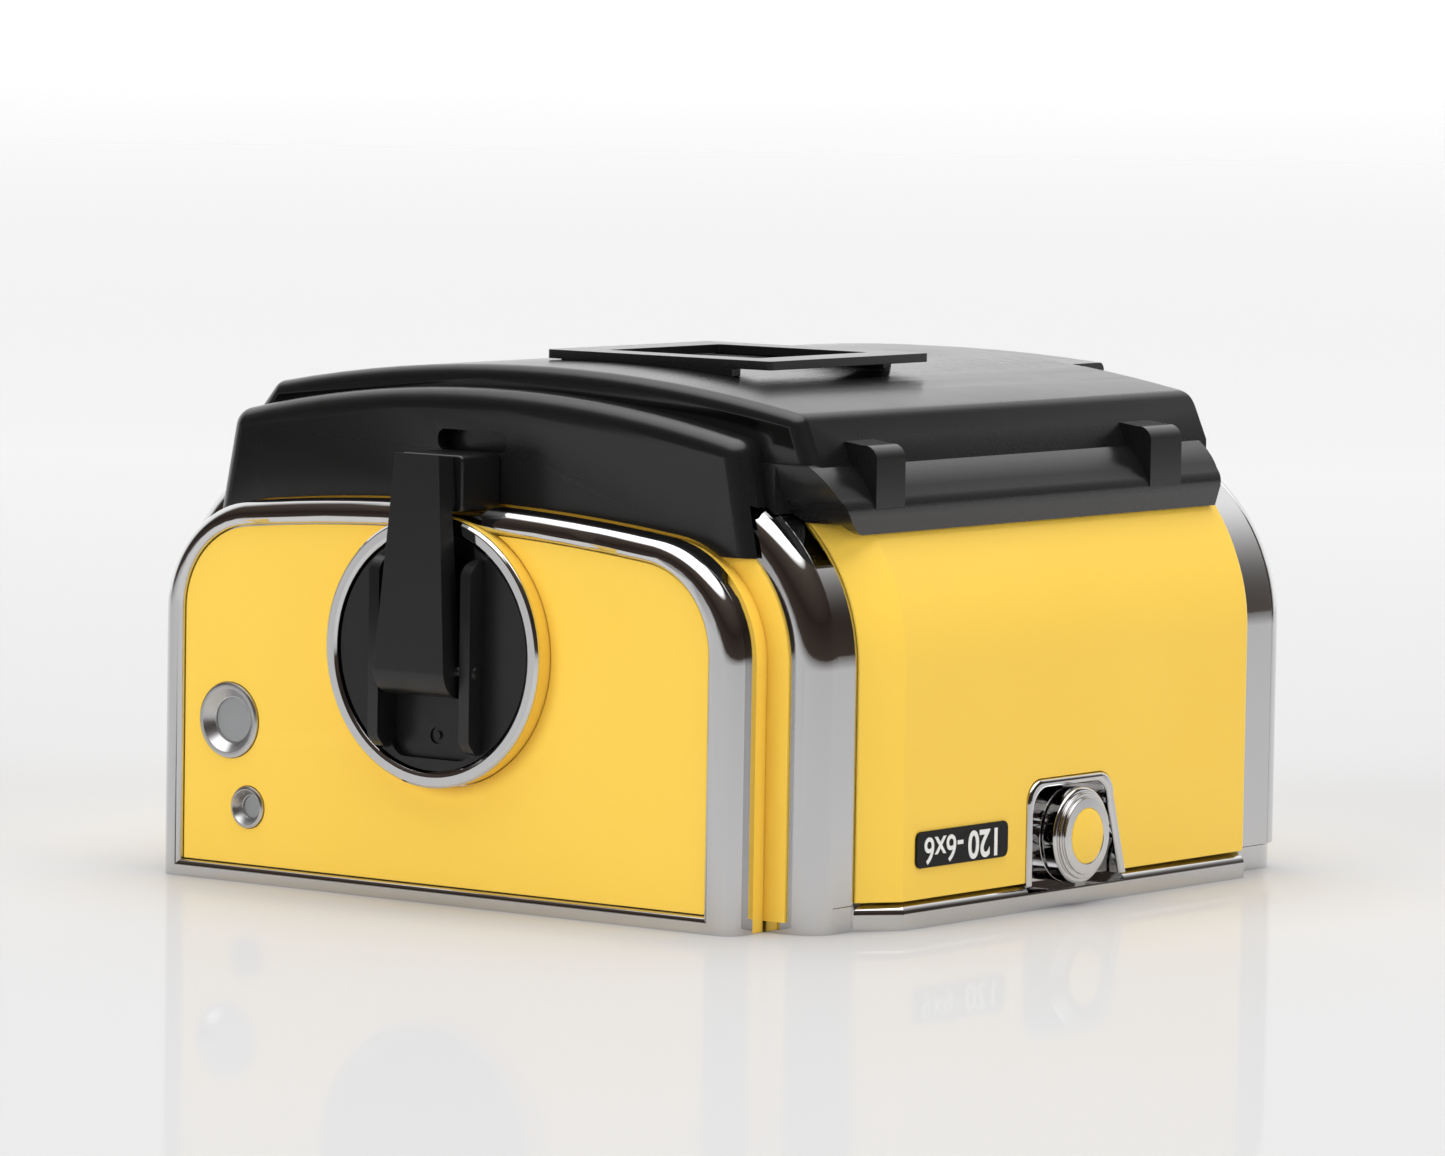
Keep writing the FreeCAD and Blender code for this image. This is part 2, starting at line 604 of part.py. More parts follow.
def cover_skirt():
    """Arched skirt over the gear housing."""
    body = new_body("cover_skirt")
    half, shoulder, shoulder_x = cell("skirt_half"), cell("skirt_shoulder"), cell("skirt_shoulder_x")
    outline = path((-half, cell("skirt_low")), (half, cell("skirt_low")), (shoulder_x, shoulder),
                   ((0.0, cell("skirt_top")), (-shoulder_x, shoulder)))
    pad(body, "XZ", outline, "dims.skirt_front", "dims.skirt_back")
    front = cell("skirt_front")
    round_edges(body, "dims.skirt_edge",
                lambda point: (abs(point.y - front) < TOUCH or abs(point.z - shoulder) < TOUCH)
                and (abs(point.x) > shoulder_x - TOUCH or point.z > shoulder - TOUCH))
    return body


def cover_tab():
    body = new_body("cover_tab")
    half = cell("tab_half")
    top = cell("tab_top")
    outline = path((-half, 46.0), (half, 46.0), (half, top - 0.9), ((0.0, top), (-half, top - 0.9)))
    pad(body, "XZ", outline, "dims.dome_back - 2", "dims.tab_back")
    round_edges(body, "0.8", lambda point: point.z > top - 1.0 and point.y > cell("tab_back") - 1e-3)
    return body


def cover_lug(label, front, back):
    """Gusset on the flange, square in front and rounded into the dome."""
    body = new_body(label)
    face, low, high, root = cell("lug_front_x"), cell("lug_low"), cell("lug_high"), cell("lug_back_x")
    outline = path((root - 3, low), (face, low), (face, high - 1.2),
                   ((face - 0.5, high - 0.2), (face - 1.8, high + 0.2)), (root - 3, high + 0.9))
    pad(body, "XZ", outline, str(front), str(back))
    return body


def rear_cover():
    """One moulding: dome, flange, skirt, tab and lugs, hollowed to sit on the casing and the panels."""
    lugs = cover_lug("lug_near", -33.9, -28.9), cover_lug("lug_far", 16.1, 22.0)
    solid = fuse("rear_cover_solid", cover_dome(), cover_flange(), cover_skirt(), cover_tab(), *lugs)
    gap = cell("cover_gap")
    hollow = new_body("cover_hollow")
    start = "dims.case_front - 0.3 - dims.cover_gap"
    pad(hollow, "XZ", casing_outline(gap, -5), start, "dims.case_back + 5")
    over_panel = new_body("cover_over_panel")
    panel = casing_outline(cell("panel_rise") + gap, -5)
    pad(over_panel, "XZ", panel, "dims.bevel_a - 0.5", "dims.bevel_b + 0.5")
    over_housing = new_body("cover_over_housing")
    housing = cover_outline(-gap, -5)
    pad(over_housing, "XZ", housing, "dims.cover_front - 5", "dims.cover_back + 0.05")
    notch = new_body("cover_notch")
    outline = rounded(cell("notch_left"), cell("notch_right"), cell("notch_low"), cell("notch_high"), 0.9)
    pad(notch, "XZ", outline, "dims.skirt_front - 5", "dims.skirt_front + 2.2")
    return keep(cut("rear_cover", solid, hollow, over_panel, over_housing, notch, cover_sweep()))


def catch_block():
    """Block on the skirt under the tip of the folded crank."""
    body = new_body("catch_block")
    outline = rounded(cell("catch_left"), cell("catch_right"), cell("catch_low"), cell("catch_high"), 0.7)
    pad(body, "XZ", outline, "dims.catch_front", "dims.skirt_front")
    return keep(body)


def memo_holder():
    """Flat frame on two rails that holds the end of a film carton on the dome."""
    body = new_body("memo_holder")
    left, right, front, back = cell("memo_left"), cell("memo_right"), cell("memo_front"), cell("memo_back")
    bar, rail = cell("memo_bar"), cell("memo_rail")
    pad(body, "XY", rounded(left, right, front, back, 0.6), "dims.memo_low", "dims.memo_high")
    pocket(body, "XY", rounded(left + bar, right - bar, front + bar - 0.5, back - bar + 0.5, 0.5),
           "dims.memo_low - 1", "dims.memo_high + 1")
    for start in (front, back - rail):
        foot = rectangle(left + 2, right - cell("memo_setback"), start, start + rail)
        pad(body, "XY", foot, "dims.memo_low - 2.2", "dims.memo_low")
    top, middle, radius = cell("dome_top"), cell("dome_x"), cell("dome_radius")
    start, end = left - 5, right + 5
    under = path((start, top - 6), (end, top - 6), (end, arch(end, top, middle, radius)),
                 ((middle, top), (start, arch(start, top, middle, radius))))
    pocket(body, "XZ", under, "dims.memo_front - 1", "dims.memo_back + 1")
    return keep(body)


# ---------------------------------------------------------------- top side details
def label_plate():
    body = new_body("label_plate")
    face = "dims.case_half + dims.panel_rise"
    outline = rounded(cell("label_left"), cell("label_right"), cell("label_low"), cell("label_high"), 0.8)
    pad(body, "YZ", outline, face, face + " + 0.3")
    return keep(body)


def button_niche():
    """Chromed surround let into the top panel, open at its foot."""
    body = new_body("button_niche")
    low, face = cell("niche_low"), cell("niche_face")
    pad(body, "YZ", niche_outline(0.05, low), "dims.case_half", "dims.niche_face")
    pocket(body, "YZ", niche_outline(cell("niche_lip"), low - 1), "dims.niche_floor", "dims.niche_face + 1")
    round_edges(body, "dims.niche_round", lambda point: abs(point.x - face) < TOUCH, foot=low)
    pocket(body, "YZ", stem_slot(), "dims.case_half - 1", "dims.niche_floor + 1")
    return keep(body)


def release_button():
    """Stack of turned discs on a stem, its coloured cap, and the catch plate inside the casing."""
    start = cell("case_half") - cell("case_wall") - 0.1
    foot = cell("niche_floor") + 0.15 - start
    out, cap, stem = cell("button_r"), cell("cap_r"), cell("stem_r")
    stack = ((0, 0), (stem, 0), (stem, foot), (out, foot), (out, foot + 2.0), (out - 0.5, foot + 2.0),
             (out - 0.5, foot + 2.35), (out, foot + 2.35), (out, foot + 3.75), (out - 0.2, foot + 3.95),
             (out - 0.55, foot + 3.95), (out - 0.55, foot + 4.3), (out - 1.0, foot + 4.3),
             (out - 1.0, foot + 4.6), (cap, foot + 4.65), (cap, foot + 4.3), (0, foot + 4.3))
    place = ("dims.case_half - dims.case_wall - 0.1", "dims.button_y", "dims.button_z")
    keep(lathe("release_button", stack, "+X", place))
    face = ((0, foot + 4.3), (cap, foot + 4.3), (cap, foot + 4.6), (cap - 0.3, foot + 4.7), (0, foot + 4.7))
    keep(lathe("button_cap", face, "+X", place))
    body = new_body("catch_plate")
    outline = rounded(cell("catch_plate_left"), cell("catch_plate_right"),
                      cell("catch_plate_low"), cell("catch_plate_high"), 1.0)
    inner = "dims.case_half - dims.case_wall"
    pad(body, "YZ", outline, inner + " - 1.2", inner + " - 0.1")
    keep(body)


# ---------------------------------------------------------------- crank and gears
def crank():
    """Disc with two fences, a sunken channel for the lever, and a small setting dot."""
    body = new_body("crank_disc")
    x, z, radius = cell("crank_x"), cell("crank_z"), cell("disc_r")
    gap, thick = cell("fence_gap"), cell("fence_thick")
    low, high = cell("fence_low"), cell("fence_high")
    pad(body, "XZ", circle(x, z, radius), "dims.disc_front", "dims.disc_back")
    for left in (x - gap - thick, x + gap):
        pad(body, "XZ", rounded(left, left + thick, low, high, 0.6), "dims.fence_front", "dims.disc_front")
    slope = cell("fence_slope")
    for end, sign in ((low, -1), (high, 1)):
        crest, root, start = cell("fence_front"), cell("disc_front") - 0.4, end - sign * slope
        corner = path((crest - 1, start), (crest, start), ((crest + 0.35, end - sign), (root, end)),
                      (root, end + sign), (crest - 1, end + sign))
        pocket(body, "YZ", corner, "dims.crank_x - 9", "dims.crank_x + 9")
    channel = rounded(x - gap, x + gap, z - 11.2, z + 16, 2.0)
    pocket(body, "XZ", channel, "dims.fence_front - 1", "dims.channel_floor_low")
    room = rectangle(x - gap, x + gap, cell("channel_step"), z + 16)
    pocket(body, "XZ", room, "dims.fence_front - 1", "dims.channel_floor")
    dot = circle(x, z - 8.8, 0.9) + circle(x, z - 8.8, 0.45)
    pocket(body, "XZ", dot, "dims.fence_front - 1", "dims.channel_floor_low + 0.25")
    eye = circle(cell("hinge_y"), cell("hinge_z"), cell("pin_r") + cell("run_fit"))
    pocket(body, "YZ", eye, "dims.crank_x - 9", "dims.crank_x + 9")
    keep(body)
    keep(rod("crank_shaft", "+Y", "dims.shaft_r", "dims.cover_back - dims.disc_back - 0.5",
             ("dims.crank_x", "dims.disc_back", "dims.crank_z")))


def thumb_bevel():
    """Leaning cylinder that takes a half-moon bevel off the lever's foot."""
    radius, tilt = cell("bevel_r"), math.radians(cell("bevel_tilt"))
    axis = V(0, math.cos(tilt), -math.sin(tilt))
    inward = V(0, -math.sin(tilt), -math.cos(tilt))
    top = V(cell("crank_x"), cell("hinge_y") - cell("tail_r"), cell("bevel_top"))
    tool = doc.addObject("Part::Cylinder", "thumb_bevel")
    tool.Label = "thumb_bevel"
    tool.setExpression("Radius", "dims.bevel_r")
    tool.setExpression("Height", "4 * dims.bevel_r")
    start = top + inward * radius - axis * (2 * radius)
    tool.Placement = FreeCAD.Placement(start, FreeCAD.Rotation(V(0, 0, 1), axis))
    return tool


def crank_lever():
    """Flat lever tapering to a thicker grip; its tail is round about the hinge."""
    body = new_body("lever_blank")
    y, z, tail = cell("hinge_y"), cell("hinge_z"), cell("tail_r")
    tip, back = cell("lever_tip"), cell("lever_back")
    grip_low, grip = cell("grip_low"), cell("grip_back")
    meet = z + math.sqrt(tail ** 2 - (back - y) ** 2)
    low = math.radians(-60)
    side = path((y - tail, z), (cell("lever_tip_front"), tip), (grip, tip - 0.3), (grip, grip_low),
                (back, grip_low - 1.0), (back, meet),
                ((y + tail * math.cos(low), z + tail * math.sin(low)), (y - tail, z)))
    pad(body, "YZ", side, "dims.crank_x - dims.lever_foot_half", "dims.crank_x + dims.lever_foot_half")
    x, foot, end = cell("crank_x"), cell("lever_foot_half"), cell("lever_tip_half")
    for sign in (-1, 1):
        outer = x + sign * (foot + 2)
        wedge = path((x + sign * foot, z - 1), (outer, z - 1), (outer, tip + 1), (x + sign * end, tip + 1))
        pocket(body, "XZ", wedge, "dims.fence_front - 5", "dims.grip_back + 1")
    pocket(body, "YZ", circle(y, z, cell("pin_r")), "dims.crank_x - 9", "dims.crank_x + 9")
    keep(cut("crank_lever", body, thumb_bevel()))
    keep(rod("hinge_pin", "+X", "dims.pin_r", "2 * dims.fence_gap + 2 * dims.fence_thick - 0.2",
             ("dims.crank_x - dims.fence_gap - dims.fence_thick + 0.1", "dims.hinge_y", "dims.hinge_z")))


def gears():
    """Three equal gears in mesh: on the crank, on the take-up shaft, and one that meets the camera's."""
    hub = (cell("crank_x"), cell("crank_z"))
    pitch_angle = 2 * math.pi / cell("gear_teeth")
    take = (cell("spool_x"), cell("spool_z"))
    to_take = math.atan2(take[1] - hub[1], take[0] - hub[0])
    meet = (cell("body_gear_x"), cell("body_gear_z"))
    to_meet = math.atan2(meet[1] - hub[1], meet[0] - hub[0])
    lead = (to_take - to_meet) % pitch_angle
    plans = (("winding_gear", hub, to_take, "shaft_r", 0.0),
             ("takeup_gear", take, to_take + math.pi + pitch_angle / 2, "shaft_r", 0.0),
             ("body_gear", meet, to_meet + math.pi - lead + pitch_angle / 2, "post_r", cell("run_fit")))
    for label, centre, tooth_at, bore, gap in plans:
        body = new_body(label)
        pad(body, "XZ", gear_outline(centre, tooth_at), "dims.gear_front", "dims.gear_back")
        pocket(body, "XZ", circle(*centre, cell(bore) + gap), "dims.gear_front - 1", "dims.gear_back + 1")
        keep(body)


def takeup_shaft():
    """Shaft through the end wall, with a winged dog for the spool's slot."""
    stem = rod("takeup_stem", "+Y", "dims.shaft_r", "dims.dog_tip - dims.gear_front",
               ("dims.spool_x", "dims.gear_front", "dims.spool_z"))
    wings = box("takeup_wings", ("dims.spool_x - 4.0", "dims.dog_tip - 2.2", "dims.spool_z - 1"),
                ("dims.spool_x + 4.0", "dims.dog_tip", "dims.spool_z + 1"))
    keep(fuse("takeup_shaft", stem, wings))


def counter_parts():
    """Numbered dial behind the counter window, and the flag behind the small window."""
    hole = cell("post_r") + cell("run_fit")
    dial = new_body("counter_dial")
    x, z = cell("dial_x"), cell("dial_z")
    pad(dial, "XZ", circle(x, z, cell("dial_r")), "dims.cover_wall_in + 0.25", "dims.cover_wall_in + 0.85")
    pocket(dial, "XZ", circle(x, z, hole), "dims.cover_wall_in - 1", "dims.cover_mid")
    keep(dial)
    flag = new_body("film_flag")
    x, z = cell("flag_pivot_x"), cell("flag_pivot_z")
    reach, heel = cell("flag_reach"), 2.2
    blade = path((x, z - heel), ((x - heel, z), (x, z + heel)), (x + reach, z + 3.9),
                 ((x + reach + 0.7, z + 1.6), (x + reach, z - 1.0)))
    pad(flag, "XZ", blade, "dims.cover_wall_in + 0.25", "dims.cover_wall_in + 0.75")
    pocket(flag, "XZ", circle(x, z, hole), "dims.cover_wall_in - 1", "dims.cover_mid")
    keep(flag)


# ---------------------------------------------------------------- film insert
def insert_lid():
    """Rolled end plate that closes the casing when the insert is in."""
    body = new_body("insert_lid")
    back, low, z, radius = cell("case_back"), cell("plate_thick") + 0.05, cell("key_z"), cell("key_r")
    pad(body, "XZ", casing_outline(0, low), "dims.lid_front", "dims.case_back")
    round_edges(body, "dims.lid_edge",
                lambda point: abs(point.y - back) < TOUCH and abs(point.z - low) > TOUCH)
    pocket(body, "XZ", circle(0, z, radius + 0.08), "dims.lid_front - 1", "dims.case_back + 1")
    keep(body)
    leather = new_body("lid_leather")
    cloth = casing_outline(-cell("lid_edge") - 0.8, cell("plate_thick") + 2.0)
    pad(leather, "XZ", cloth, "dims.case_back", "dims.case_back + 0.4")
    pocket(leather, "XZ", circle(0, z, radius + 0.3), "dims.case_back - 1", "dims.case_back + 1")
    keep(leather)


def insert_frame():
    """Two cheeks on a bed plate, with the spools' pins."""
    body = new_body("insert_frame")
    spool_x, spool_z = cell("spool_x"), cell("spool_z")
    outline = casing_outline(-cell("cheek_inset"), cell("cheek_low"))
    bed = rectangle(-cell("bed_half"), cell("bed_half"), cell("bed_low"), cell("bed_high"))
    pad(body, "XZ", outline, "-dims.cheek_outer", "-dims.cheek_inner")
    pad(body, "XZ", bed, "-dims.cheek_outer", "dims.lid_front")
    pad(body, "XZ", outline, "dims.cheek_inner", "dims.cheek_outer")
    supply_pin = circle(-spool_x, spool_z, cell("spool_pin"))
    takeup_pin = circle(spool_x, spool_z, cell("spool_pin"))
    pad(body, "XZ", supply_pin, "-dims.cheek_outer", "-dims.spool_half + 3.5")
    pad(body, "XZ", supply_pin, "dims.spool_half - 3.5", "dims.cheek_outer")
    pad(body, "XZ", takeup_pin, "dims.spool_half - 3.5", "dims.cheek_outer")
    for side in (-1, 1):
        roller = circle(side * cell("roller_x"), cell("roller_z"), cell("roller_pin") + cell("run_fit"))
        pocket(body, "XZ", roller, "-dims.cheek_outer - 1", "dims.cheek_outer + 1")
        post = circle(side * cell("post_x"), 0, 1.15)
        pocket(body, "XY", post, "dims.bed_low - 1", "dims.bed_high + 1")
    pocket(body, "XZ", circle(spool_x, spool_z, 4.4), "-dims.cheek_outer - 1", "-dims.cheek_inner + 0.01")
    keep(body)


def spool(label, sign):
    """Film spool: two flanges, a core, a bore and a slot across each end."""
    half, thick = cell("spool_half"), 0.9
    flange, core, bore = cell("spool_flange"), cell("spool_core"), cell("spool_bore")
    profile = ((bore, 0), (flange, 0), (flange, thick), (core, thick), (core, 2 * half - thick),
               (flange, 2 * half - thick), (flange, 2 * half), (bore, 2 * half))
    place = "dims.spool_x" if sign > 0 else "-dims.spool_x"
    turned = lathe(label + "_turned", profile, "+Y", (place, "-dims.spool_half", "dims.spool_z"))
    near_slot = box(label + "_near_slot", (f"{place} - 4.4", "-dims.spool_half - 1", "dims.spool_z - 1.15"),
                    (f"{place} + 4.4", "-dims.spool_half + 3.4", "dims.spool_z + 1.15"))
    far_slot = box(label + "_far_slot", (f"{place} - 4.4", "dims.spool_half - 3.4", "dims.spool_z - 1.15"),
                   (f"{place} + 4.4", "dims.spool_half + 1", "dims.spool_z + 1.15"))
    keep(cut(label, turned, near_slot, far_slot))


def film_rollers():
    half = cell("cheek_inner") - 0.2
    end = cell("cheek_outer") - 0.1
    radius, pin = cell("roller_r"), cell("roller_pin")
    profile = ((0, 0), (pin, 0), (pin, end - half), (radius, end - half), (radius, end + half),
               (pin, end + half), (pin, 2 * end), (0, 2 * end))
    for label, place in (("roller_top", "dims.roller_x"), ("roller_foot", "-dims.roller_x")):
        keep(lathe(label, profile, "+Y", (place, "-dims.cheek_outer + 0.1", "dims.roller_z")))


def pressure_parts():
    """Sprung plate that holds the film flat behind the gate."""
    body = new_body("pressure_plate")
    half_x, half_y = cell("press_half_x"), cell("press_half_y")
    pad(body, "XY", rounded(-half_x, half_x, -half_y, half_y, 1.5), "dims.press_low", "dims.press_high")
    for side in (-1, 1):
        pad(body, "XY", circle(side * cell("post_x"), 0, 1.0), "dims.press_high - 0.5", "dims.bed_high + 0.3")
    keep(body)
    high = cell("bed_low") - cell("press_high")
    sleeve = ((1.4, 0), (2.0, 0), (2.0, high), (1.4, high))
    for label, place in (("plate_spring_top", "dims.post_x"), ("plate_spring_foot", "-dims.post_x")):
        keep(lathe(label, sleeve, "+Z", (place, "0", "dims.press_high")))


def insert_key():
    """Round key set in the lid, with a fold-out handle between two ears."""
    body = new_body("key_disc")
    z, radius = cell("key_z"), cell("key_r")
    pad(body, "XZ", circle(0, z, radius), "dims.lid_front + 0.6", "dims.key_front")
    pad(body, "XZ", circle(0, z, 3.0), "dims.key_back", "dims.lid_front + 0.6")
    half = cell("handle_half")
    for left in (-half - 1.3, half + 0.15):
        ear = rounded(left, left + 1.15, z - 1.1, z + 1.1, 0.3)
        pad(body, "XZ", ear, "dims.key_front - 0.2", "dims.key_front + 1.9")
    eye = circle(cell("key_front") + 0.95, z, 0.5 + cell("run_fit"))
    pocket(body, "YZ", eye, "-dims.key_r", "dims.key_r")
    keep(body)
    handle = new_body("key_handle")
    low, thick = cell("handle_low"), cell("handle_thick")
    near = cell("key_front") + 0.2
    side = path((near, low + 0.4), (near + thick, low), (near + thick, z),
                ((near + thick / 2, z + thick / 2), (near, z)))
    pad(handle, "YZ", side, "-dims.handle_half", "dims.handle_half")
    shoulder = low + 4
    waste = path((-half - 1, low - 1), (half + 1, low - 1), (half + 1, shoulder), (half, shoulder),
                 ((0, low - 0.01), (-half, shoulder)), (-half - 1, shoulder))
    pocket(handle, "XZ", waste, "dims.key_front - 1", "dims.key_front + 3")
    pad(handle, "YZ", circle(near + thick / 2, z, 0.5), "-dims.handle_half - 1.2", "dims.handle_half + 1.2")
    keep(handle)


def dark_slide():
    """Thin steel blade across the gate, and its pull."""
    body = new_body("dark_slide")
    half, front = cell("blade_half"), cell("pull_front")
    blade = rounded(-half, half, cell("blade_end"), front + 2, 2.0)
    pad(body, "XY", blade, "dims.blade_low", "dims.blade_high")
    pocket(body, "XY", rectangle(-half - 1, half + 1, front, front + 4), "0", "3")
    keep(body)
    pull = new_body("slide_pull")
    half, bar, back = cell("pull_half"), cell("pull_bar"), cell("pull_back")
    low, high = cell("pull_low"), cell("pull_high")
    pad(pull, "XY", rounded(-half, half, front, back, 2.2), "dims.pull_low", "dims.pull_high")
    loop = rounded(-half + bar, half - bar, front + bar - 0.6, back - bar + 0.6, 1.2)
    pocket(pull, "XY", loop, "-1", "dims.pull_high + 1")
    round_edges(pull, "0.5", lambda point: point.y > front + 0.5
                and min(abs(point.z - low), abs(point.z - high)) < TOUCH)
    keep(pull)


front_plate()
plate_screws()
end_frame()
casing()
side_panel("top_leather", False)
side_panel("foot_leather", True)
ledge_leather()
housing_base()
housing_cover()
side_leather()
crank_seat()
window("counter", "counter_x", "counter_z", "counter_r", 2.4)
window("flag", "flag_x", "flag_z", "flag_r", 1.2)
rear_cover()
catch_block()
memo_holder()
label_plate()
button_niche()
release_button()
crank()
crank_lever()
gears()
takeup_shaft()
counter_parts()
insert_lid()
insert_frame()
spool("takeup_spool", 1)
spool("supply_spool", -1)
film_rollers()
pressure_parts()
insert_key()
dark_slide()

doc.recompute()
faults = [f"{item.Label}: {item.State}" for item in doc.Objects
          if any(word in state for state in item.State for word in ("Invalid", "Error"))]
for node in nodes:
    if node.Shape.isNull() or not node.Shape.isValid() or len(node.Shape.Solids) != 1:
        faults.append(f"{node.Label}: shape is not one valid solid")
if faults:
    raise RuntimeError("; ".join(faults))

os.makedirs("parts", exist_ok=True)
for node in nodes:
    node.Shape.exportStep(f"parts/{node.Label}.step")
    print(f"{node.Label:18s} {node.Shape.Volume:10.1f} mm3")
print(len(nodes), "sub-parts")
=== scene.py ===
import json
import math
import bmesh
import bpy
import numpy as np
from mathutils import Matrix, Vector


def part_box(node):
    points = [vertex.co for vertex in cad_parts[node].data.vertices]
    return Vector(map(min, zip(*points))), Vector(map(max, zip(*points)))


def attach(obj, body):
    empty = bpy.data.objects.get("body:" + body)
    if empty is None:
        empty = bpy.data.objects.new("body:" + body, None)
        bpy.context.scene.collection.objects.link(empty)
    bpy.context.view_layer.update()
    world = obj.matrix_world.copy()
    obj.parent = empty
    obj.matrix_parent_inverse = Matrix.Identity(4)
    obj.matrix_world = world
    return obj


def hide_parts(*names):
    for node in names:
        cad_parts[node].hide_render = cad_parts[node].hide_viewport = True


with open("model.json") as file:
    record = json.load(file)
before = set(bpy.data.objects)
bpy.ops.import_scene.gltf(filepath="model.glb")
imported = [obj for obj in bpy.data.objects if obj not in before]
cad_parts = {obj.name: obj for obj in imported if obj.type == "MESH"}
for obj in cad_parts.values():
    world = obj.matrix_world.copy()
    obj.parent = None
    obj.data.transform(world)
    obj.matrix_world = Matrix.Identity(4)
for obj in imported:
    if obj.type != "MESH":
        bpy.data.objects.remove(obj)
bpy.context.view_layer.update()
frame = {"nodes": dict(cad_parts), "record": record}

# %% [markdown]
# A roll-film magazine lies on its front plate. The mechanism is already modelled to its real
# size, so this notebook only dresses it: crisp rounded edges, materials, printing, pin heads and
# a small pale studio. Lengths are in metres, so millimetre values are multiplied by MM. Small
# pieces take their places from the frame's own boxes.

MM = 0.001
WELD_DISTANCE = 1e-6

# %% [markdown]
# ## Working effects for materials
# Real surfaces are never one even colour. Several finishes here share the same small effects,
# so each effect is a node group with named inputs: it gives out only a height, a mask or a
# tone, and every material keeps its own Principled shader.


# %% A small kit for node trees
# Where a colour Mix node keeps its share, its two colours and its result.
MIX_SHARE, MIX_FIRST, MIX_SECOND, MIX_RESULT = 0, 6, 7, 2


def add_node(tree, kind, **settings):
    """Adds a node and sets its plain properties."""
    node = tree.nodes.new(kind)
    for name, value in settings.items():
        setattr(node, name, value)
    return node


def set_inputs(node, **values):
    """Sets plain values on a node's inputs; an underscore in a name stands for a space."""
    for name, value in values.items():
        node.inputs[name.replace("_", " ")].default_value = value
    return node


def new_group(name, inputs, outputs):
    """Makes a shader node group: inputs are (name, value) pairs, outputs are (name, socket type) pairs."""
    group = bpy.data.node_groups.new(name, "ShaderNodeTree")
    for label, value in inputs:
        socket = group.interface.new_socket(label, in_out="INPUT", socket_type="NodeSocketFloat")
        socket.default_value = value
    for label, kind in outputs:
        group.interface.new_socket(label, in_out="OUTPUT", socket_type=kind)
    return group, add_node(group, "NodeGroupInput"), add_node(group, "NodeGroupOutput")


def math_node(tree, operation, first, second, clamp=False):
    """One Math node fed by sockets or plain numbers."""
    node = add_node(tree, "ShaderNodeMath", operation=operation, use_clamp=clamp)
    for socket, value in zip(node.inputs, (first, second)):
        if isinstance(value, float):
            socket.default_value = value
        else:
            tree.links.new(value, socket)
    return node.outputs[0]


def mix_colours(tree, share, first, second, **settings):
    """Goes from the first colour to the second with the share; a colour is a socket or three numbers."""
    node = add_node(tree, "ShaderNodeMix", data_type="RGBA", **settings)
    tree.links.new(share, node.inputs[MIX_SHARE])
    for place, colour in ((MIX_FIRST, first), (MIX_SECOND, second)):
        if isinstance(colour, tuple):
            node.inputs[place].default_value = (*colour, 1.0)
        else:
            tree.links.new(colour, node.inputs[place])
    return node.outputs[MIX_RESULT]


# %% [markdown]
# Grain is the pebbled skin of leatherette and the spark-eroded skin of moulded plastic. Both
# are cells of uneven size with softer noise over them; only the scale and depth differ. A
# voronoi pattern gives the cells and a noise pattern breaks them up.


# %% The grain effect
BROAD_TONE_SCALE = 45.0


def make_grain():
    """Gives a fine height from cells and noise, and a tone that drifts over centimetres."""
    group, entry, result = new_group(
        "surface_grain", (("Cells per metre", 2500.0), ("Cell share", 0.5)),
        (("Height", "NodeSocketFloat"), ("Tone", "NodeSocketFloat")))
    place = add_node(group, "ShaderNodeTexCoord")
    cells = set_inputs(add_node(group, "ShaderNodeTexVoronoi", feature="SMOOTH_F1"), Smoothness=0.6)
    clouds = set_inputs(add_node(group, "ShaderNodeTexNoise"), Detail=4.0)
    link = group.links.new
    for texture in (cells, clouds):
        link(place.outputs["Object"], texture.inputs["Vector"])
        link(entry.outputs["Cells per metre"], texture.inputs["Scale"])
    weighed = math_node(group, "MULTIPLY", cells.outputs["Distance"], entry.outputs["Cell share"])
    link(math_node(group, "ADD", weighed, clouds.outputs[0]), result.inputs["Height"])
    broad = set_inputs(add_node(group, "ShaderNodeTexNoise"), Scale=BROAD_TONE_SCALE, Detail=3.0)
    link(place.outputs["Object"], broad.inputs["Vector"])
    link(broad.outputs[0], result.inputs["Tone"])
    return group


grain = make_grain()

# %% [markdown]
# Handling leaves faint smears that only show in the gloss, and dust leaves scattered pale
# specks. Smears are stretched soft noise. Specks come from a voronoi pattern: a cell gets a
# speck only where its random colour is low, and only near its middle.


# %% The handling effect
SMEAR_SCALE = 110.0
SPECK_REACH = 0.09


